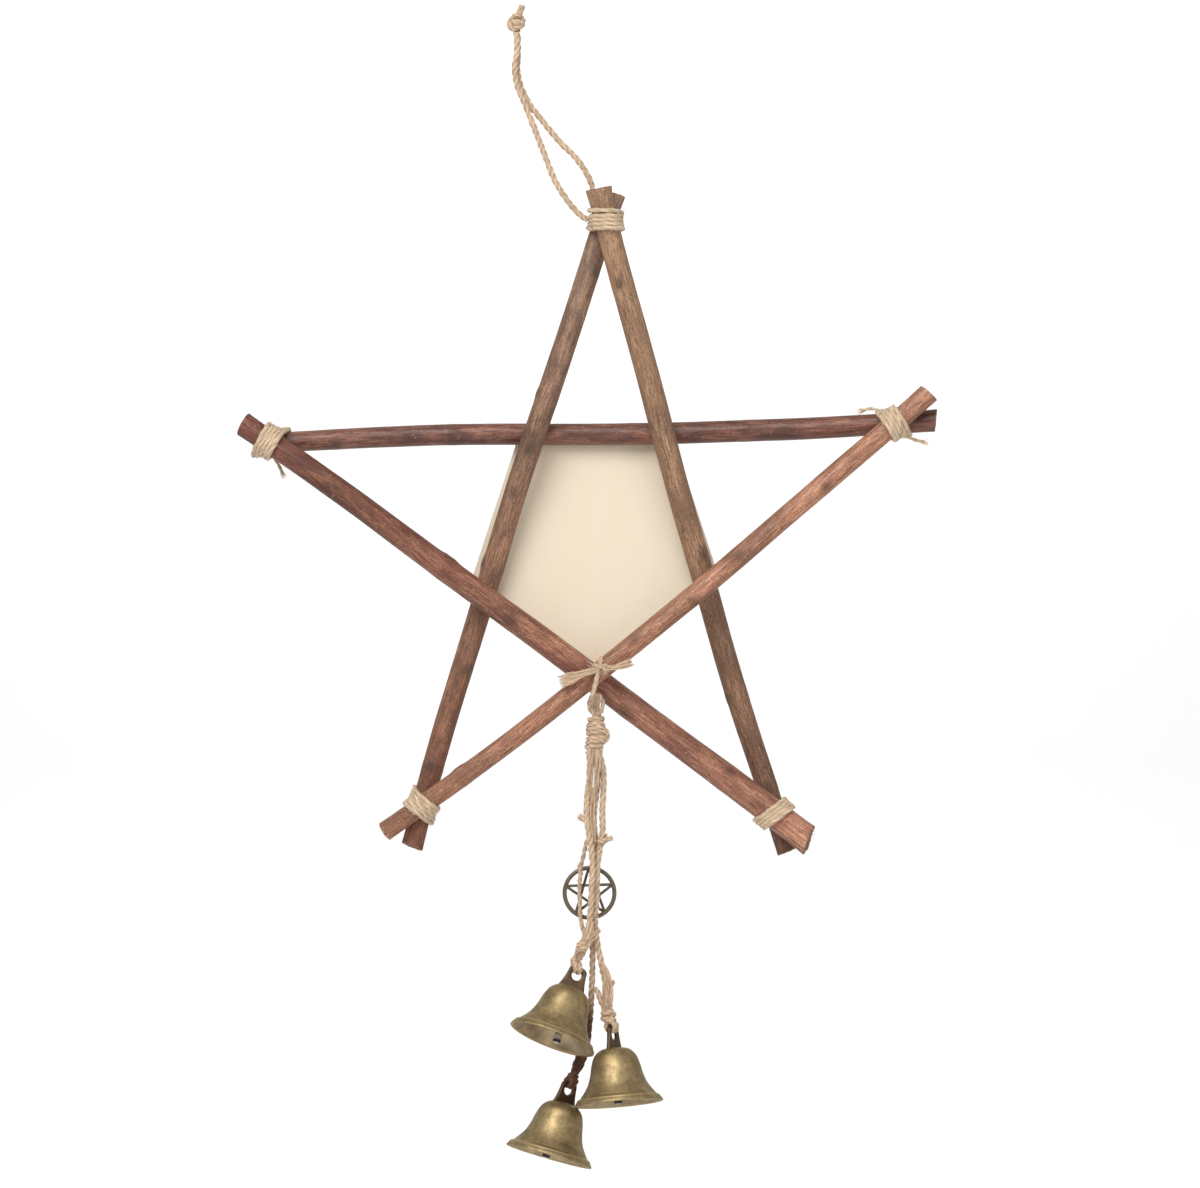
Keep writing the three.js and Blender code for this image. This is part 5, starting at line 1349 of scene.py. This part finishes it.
def bell_hitch(name, data, diameter, pitch, number):
    """Both ends of a bell's cord: two turns of twine through the bell's ear, the return strand, knots, cut
    nubs and loose fibres. Gives the middle of the knot over the ear, and the shells."""
    bell = BELLS[name]
    seed = CORD_SEED + CORD_SEED_STEP * number
    matrix = turn_matrix(bell["lean"], bell["tip"], bell["turn"])
    across, side = matrix @ np.array([0, 1.0, 0]), matrix @ np.array([1.0, 0, 0])
    hole = np.array(bell["hole"])
    pull = (np.array(data["down"][-1]) + data["back"][-1]) / 2 - hole
    up = unit(pull - across * (pull @ across))
    ear_top = EAR["height"] - EAR["hole_height"]
    knot = hole + up * (ear_top + diameter / 2 + TOUCH + HITCH_EASE + KNOT_RISE)
    tall = HITCH_HIGH - HITCH_LOW
    parts = []
    for shift in (-HITCH_SHIFT, HITCH_SHIFT):
        centre = hole + up * (HITCH_LOW + HITCH_HIGH) / 2 + side * shift * 0.8
        turn = ring_path(centre, across, up, EAR["thickness"] / 2 + diameter * 0.39 + 0.15, tall / 2)
        turn = turn + side * shift * 0.35 * (((turn - centre) @ up)[:, None] / tall + 0.5)
        parts.append(twisted(turn, diameter * 0.78, side, sides=16, pitch=7.0, seed=seed + number,
                             closed=True))
    back = smooth([*data["back"], tuple(knot)], 0.5)
    parts += cord_parts(back, diameter * 0.95, (0, 1, 0), seed + 1, pitch=pitch, ends=(0.5, 1.0))
    parts += knot_parts(knot, 1.7, diameter * 0.8, seed + 2)
    for k, (x, y, z, radius) in enumerate(data["knots"]):
        parts += knot_parts((x, y, z), radius, diameter * 0.85, seed + 3 + k)
    for k, (x, y, z, radius, aim) in enumerate(data["nubs"]):
        aim = unit(np.array(aim))
        stub = np.array([x, y, z]) + aim * np.linspace(-2.2, 1.6, 9)[:, None]
        parts.append(twisted(stub, 2 * radius, (0, 1, 0), seed=seed + k, sides=14))
        parts.append(brush(stub[-1], aim, 30, 1.6, 1.1, seed + 5 + k))
    for k, (points, widths, count) in enumerate(data["tows"]):
        parts += tow(points, widths, count, seed + 7 + k, 0.45)
    return knot, parts


def charm_hitch():
    """Turn of twine round the charm's ring, where the strand passes it."""
    middle = CHARM["radius"] - CHARM["rim"] / 2
    centre = np.array(CHARM["centre"])
    side = (CHARM_CORD[3][0] - centre[0]) / middle
    outward = np.array([side, 0, math.sqrt(1 - side * side)])
    path = ring_path(centre + outward * middle, outward, (0, 1, 0), CHARM["rim"] / 2 + 1.1,
                     CHARM["thickness"] / 2 + 1.1, 48)
    return twisted(path, CHARM_HITCH_DIAMETER, np.cross(outward, (0, 1, 0)), sides=12, pitch=5.0, closed=True)


class WILLOWSTAR_OT_bell_cords(Operator):
    """Makes the three bell cords with their return strands, knots and hitches, and the charm's strand"""

    bl_idname = "willowstar.bell_cords"
    bl_label = "Bell cords"

    def execute(self, context):
        sizes = context.scene.willow_star_sizes
        diameter, pitch = sizes.cord / MM, sizes.ply_pitch / MM
        for number, (name, data) in enumerate(BELL_CORDS.items()):
            knot, extra = bell_hitch(name, data, diameter, pitch, number)
            path = smooth([*data["down"], tuple(knot)], 0.5)
            strand = cord_parts(path, diameter, (0, 1, 0), CORD_SEED + CORD_SEED_STEP * number, pitch=pitch,
                                per_mm=sizes.fuzz)
            # the lowest cord and its hitch turn darker below a given height
            if "darkening" in data:
                extra, strand = darkened_below(extra, *data["darkening"]), darkened_below(strand, *data["darkening"])
            extra = piece(f"{name}_bell_hitch", extra, "spun_jute")
            strand = piece(f"{name}_bell_strand", strand, "spun_jute", [f"{name}_bell_cord"])
        path = smooth([*CHARM_CORD_ROOT, *CHARM_CORD], 0.4)
        hitch = piece("charm_hitch", [charm_hitch()], "spun_jute")
        strand = cord_parts(path, sizes.strand / MM, (0, 1, 0), 91, plies=2, pitch=7.0, per_mm=sizes.fuzz)
        strand = piece("charm_strand", strand, "spun_jute", ["charm_cord"])
        return {"FINISHED"}


def shade(colour, factor, towards=(0, 0, 0), share=0.0):
    """Colour times a factor, and turned towards another by a share."""
    return tuple(min(1.0, c * factor * (1 - share) + t * share) for c, t in zip(colour, towards))


class WILLOWSTAR_OT_materials(Operator):
    """Makes the bark, jute, plywood and metal materials"""

    bl_idname = "willowstar.materials"
    bl_label = "Materials"

    def execute(self, context):
        colours = context.scene.willow_star_colours
        for number, (name, bark) in enumerate(BARKS.items()):
            start = (ROD_SEED + ROD_SEED_STEP * number) * BARK_SHIFT
            length = math.dist(RODS[name]["start"], RODS[name]["end"])
            bark_material(f"{name}_willow_bark", tuple(getattr(colours, name)), bark,
                          (start * MM, (start + length) * MM))
        # the lashings' twine gets a lighter copy of the cords' jute: painted light that offsets the shade
        # where the twine lies close against the rods
        jute = tuple(colours.jute)
        for name, base, share in (("spun_jute", jute, 0.4), ("wound_jute", shade(jute, 1.16), 0.35)):
            jute_material(name, shade(base, 1.18), base, shade(base, 0.52, linear("#9a7048"), share),
                          linear("#8d7468"))
        plywood_material("basswood_plywood", tuple(colours.plywood), linear("#f1e2c8"), linear("#a5825c"))
        brass = tuple(colours.brass)
        antique_material("antiqued_cast_brass", brass, shade(brass, 0.72), shade(brass, 0.48), 0.48, 4.0,
                         linear("#d2bb98"), linear("#5c483c"))
        bronze = tuple(colours.bronze)
        antique_material("darkened_bronze", bronze, shade(bronze, 0.6), shade(bronze, 0.3), 0.42, 2.5, bronze,
                         bronze)
        wire_material("plain_steel_wire", tuple(colours.steel), linear("#35302b"))
        return {"FINISHED"}


class WILLOWSTAR_OT_rods(Operator):
    """Makes the five bark-covered rods"""

    bl_idname = "willowstar.rods"
    bl_label = "Rods"

    def execute(self, context):
        relief = context.scene.willow_star_sizes.bark_relief
        for number, name in enumerate(RODS):
            parts = [rod_shell(name, relief, ROD_SEED + ROD_SEED_STEP * number)]
            if name == TORN_ROD:
                tip, before = rod_point(RODS[name], np.array([1.0, 0.99]))
                parts.append(brush(tip, tip - before, **TORN_FIBRES))
            piece(f"{name}_willow", parts, f"{name}_willow_bark", [f"{name}_rod"], sharp=50.0)
        return {"FINISHED"}


class WILLOWSTAR_OT_lashings(Operator):
    """Winds the jute twine round the five corners"""

    bl_idname = "willowstar.lashings"
    bl_label = "Lashings"

    def execute(self, context):
        twine = context.scene.willow_star_sizes.twine / MM
        for number, name in enumerate(LASHINGS):
            shells = lashing_shells(name, twine, LASHING_SEED + LASHING_SEED_STEP * number)
            piece(f"{name}_twine", shells, "wound_jute", [f"{name}_lashing"])
        return {"FINISHED"}


class WILLOWSTAR_OT_plate(Operator):
    """Makes the plywood pentagon behind the rods"""

    bl_idname = "willowstar.plate"
    bl_label = "Plywood pentagon"

    def execute(self, context):
        piece("plywood_pentagon", [plate_shell()], "basswood_plywood", ["pentagon_plate"],
              sharp=35.0)
        return {"FINISHED"}


def tie_shells(twine):
    """Centre tie: a slack ring round the crossing, its frayed tails, the knot and stray hairs."""
    sag = math.radians(TIE_SAG_FACING)
    angle = np.linspace(0, TAU, 160, endpoint=False)
    ring = turn_path(CROSSINGS["lower_inner"], 0, np.full(len(angle), TIE_SHIFT), angle,
                     lambda facing: 0.4 + twine / 2 + TIE_SLACK * np.maximum(0, np.cos(facing - sag)) ** 2)
    ring[:, 0] += TIE_LEAN * (ring[:, 2] - ring[:, 2].mean())
    parts = [twisted(ring, twine, (1, 0, 0), sides=14, pitch=8.0, seed=141, closed=True)]
    for number, tail in enumerate(TIE_TAILS):
        widths = (twine, twine + 0.4, tail["width"] * 0.75, tail["width"])
        parts += tow(tail["points"], widths, tail["count"], 150 + number)
    parts += cord_parts(smooth(TIE_KNOT, 0.35), twine * 0.9, (0.3, 0.2, 1), 155, plies=2, pitch=7.0)
    return parts + [brush(np.array(TIE_HAIR_ROOT), aim, 16, 6.5, 1.6, 181 + number, girth=1.0)
                    for number, aim in enumerate(TIE_HAIR_AIMS)]


def hank_sections(heights):
    """Middle, half width and half depth of the hank's core at these heights."""
    table = np.array(HANK_SECTIONS)
    return (np.interp(-heights, -table[:, 0], table[:, k]) for k in (1, 2, 3))


def hank_shells(twine):
    """Hank: the eye and its loose fibres, a core with twine wound round it, a bulge and three stubs."""
    x, z = HANK_EYE["x"], HANK_EYE["z"]
    eye = ring_path((x, HANK_DEPTH, z), (1, 0, 0), (0, 0, 1), HANK_EYE["half_width"], HANK_EYE["half_height"])
    heights = np.linspace(*HANK_CORE_ENDS, 40)
    middle, half_x, _ = hank_sections(heights)
    core = np.stack([middle, np.full(len(heights), HANK_DEPTH), heights], -1)
    # the core's mark of 0.7 browns it with painted shade where it shows between the winding's turns
    parts = [twisted(eye, twine, (0, 1, 0), sides=12, plies=2, pitch=6.0, seed=161, closed=True),
             tube(core, half_x - 1.2, (1, 0, 0), sides=24, flat=0.85, mark=0.7)]
    # the fibres that fill the eye get high marks: painted shade that darkens them inside the eye
    parts += tow([(x + 0.3, HANK_DEPTH, z + 4.0), (x, HANK_DEPTH - 0.2, z), (x, HANK_DEPTH, z - 5.6)],
                 (2.4, 4.4, 4.6), 46, 167, 0.5, (0.6, 1.0))
    a = np.linspace(0, TAU * HANK_TURNS, 520)
    heights = np.linspace(*HANK_WINDING_ENDS, len(a)) + 0.9 * np.cos(a + 0.6) + 0.3 * np.sin(a * 0.37)
    middle, half_x, half_y = hank_sections(heights)
    wind = np.stack([middle + (half_x - 0.9) * np.cos(a), HANK_DEPTH + (half_y - 0.9) * np.sin(a), heights],
                    -1)
    parts += cord_parts(resample(wind, 0.45), HANK_TWINE, (0, 0, 1), 163, plies=2, pitch=7.0, per_mm=1.0,
                        sides=14, ends=(0.5, 0.5))
    parts += cord_parts(smooth(HANK_BULGE, 0.4), 2.2, (0, 1, 0), 165, plies=2, pitch=7.0, ends=(0.5, 0.5))
    for number, (x, y) in enumerate(HANK_STUBS):
        stub = smooth([(x, y, -304.0), (x, y, -308.6), (x + 0.1, y, -312.0)], 0.5)
        parts += cord_parts(stub, 2.6, (0, 1, 0), 170 + number)
    return parts


class WILLOWSTAR_OT_tie(Operator):
    """Makes the centre tie with its frayed tails, and the hank with its eye and wrapping"""

    bl_idname = "willowstar.tie"
    bl_label = "Centre tie and hank"

    def execute(self, context):
        twine = context.scene.willow_star_sizes.twine / MM
        piece("centre_tie_twine", tie_shells(twine), "spun_jute", ["centre_tie"])
        piece("hank_cord", hank_shells(twine), "spun_jute", ["hank"])
        return {"FINISHED"}


class WILLOWSTAR_OT_bells(Operator):
    """Makes the three cast bells with their ears, staples and clappers"""

    bl_idname = "willowstar.bells"
    bl_label = "Bells"

    def execute(self, context):
        for number, (name, bell) in enumerate(BELLS.items()):
            matrix = turn_matrix(bell["lean"], bell["tip"], bell["turn"])
            staple = ring_path((0, 0, STAPLE), (1, 0, 0), (0, 0, 1), LINK_RADIUS, LINK_RADIUS, 48)
            staple = staple[staple[:, 2] < STAPLE + 0.2]
            link = tube(staple[np.argsort(staple[:, 0])], LINK_WIRE, (0, 1, 0), sides=10, mark=0.3)
            parts = [put(part, matrix, bell["hole"]) for part in (bell_shell(1 + number), ear_shell(), link)]
            piece(f"{name}_cast_bell", parts, "antiqued_cast_brass", [f"{name}_bell"],
                  sharp=70.0)
            piece(f"{name}_clapper", clapper_shells(bell), "plain_steel_wire",
                  [f"{name}_bell_clapper"])
        return {"FINISHED"}


class WILLOWSTAR_OT_charm(Operator):
    """Makes the cast charm"""

    bl_idname = "willowstar.charm"
    bl_label = "Charm"

    def execute(self, context):
        piece("star_charm", charm_shells(), "darkened_bronze", ["pentacle_charm"])
        return {"FINISHED"}


class WILLOWSTAR_OT_stage(Operator):
    """Sets up the pale floor, the soft lights and the plain surroundings"""

    bl_idname = "willowstar.stage"
    bl_label = "Stage"

    def execute(self, context):
        floor_material("studio_paper")
        mesh = bpy.data.meshes.new("floor")
        points = [(x, y, z) for y, z in PAPER_LINE for x in (-PAPER_HALF, PAPER_HALF)]
        faces = [(2 * k, 2 * k + 1, 2 * k + 3, 2 * k + 2) for k in range(len(PAPER_LINE) - 1)]
        mesh.from_pydata(points, [], faces)
        mesh.polygons.foreach_set("use_smooth", np.ones(len(faces), bool))
        mesh.materials.append(bpy.data.materials["studio_paper"])
        floor = placed("floor", mesh)
        for name, kind, place, target, size, power in LAMPS:
            data = bpy.data.lights.new(name, kind)
            if kind == "AREA":
                data.size = size
            else:
                data.shadow_soft_size, data.spot_blend = size, SPOT_BLEND
                data.spot_size = math.radians(SPOT_SPREAD)
            data.energy = power
            lamp = placed(name, data)
            lamp.location = place
            lamp.rotation_euler = (Vector(target) - lamp.location).to_track_quat("-Z", "Y").to_euler()
        world = bpy.data.worlds.new("studio")
        world.use_nodes = True
        background = world.node_tree.nodes["Background"].inputs
        background["Color"].default_value = (1.0, 1.0, 1.0, 1)
        background["Strength"].default_value = WORLD_LIGHT
        context.scene.world = world
        context.scene.view_settings.view_transform = "Standard"
        return {"FINISHED"}


class WILLOWSTAR_PT_panel(Panel):
    """Lists the sizes, the colours and the steps"""

    bl_idname = "WILLOWSTAR_PT_panel"
    bl_label = "Willow Star"
    bl_space_type = "VIEW_3D"
    bl_region_type = "UI"
    bl_category = "Willow Star"

    def draw(self, context):
        for group in (context.scene.willow_star_sizes, context.scene.willow_star_colours):
            for key in group.__annotations__:
                self.layout.prop(group, key)
        for operator in OPERATORS:
            self.layout.operator(operator.bl_idname)


OPERATORS = (
    WILLOWSTAR_OT_camera, WILLOWSTAR_OT_materials, WILLOWSTAR_OT_loop, WILLOWSTAR_OT_bell_cords,
    WILLOWSTAR_OT_rods, WILLOWSTAR_OT_lashings, WILLOWSTAR_OT_plate, WILLOWSTAR_OT_tie, WILLOWSTAR_OT_bells,
    WILLOWSTAR_OT_charm, WILLOWSTAR_OT_stage,
)
CLASSES = (WillowStarSizes, WillowStarColours, *OPERATORS, WILLOWSTAR_PT_panel)


def register():
    for item in CLASSES:
        bpy.utils.register_class(item)
    bpy.types.Scene.willow_star_sizes = PointerProperty(type=WillowStarSizes)
    bpy.types.Scene.willow_star_colours = PointerProperty(type=WillowStarColours)


def unregister():
    del bpy.types.Scene.willow_star_colours
    del bpy.types.Scene.willow_star_sizes
    for item in reversed(CLASSES):
        bpy.utils.unregister_class(item)


def main():
    register()
    for step in OPERATORS:
        getattr(bpy.ops.willowstar, step.bl_idname.split(".")[1])()


if __name__ == "__main__":
    main()
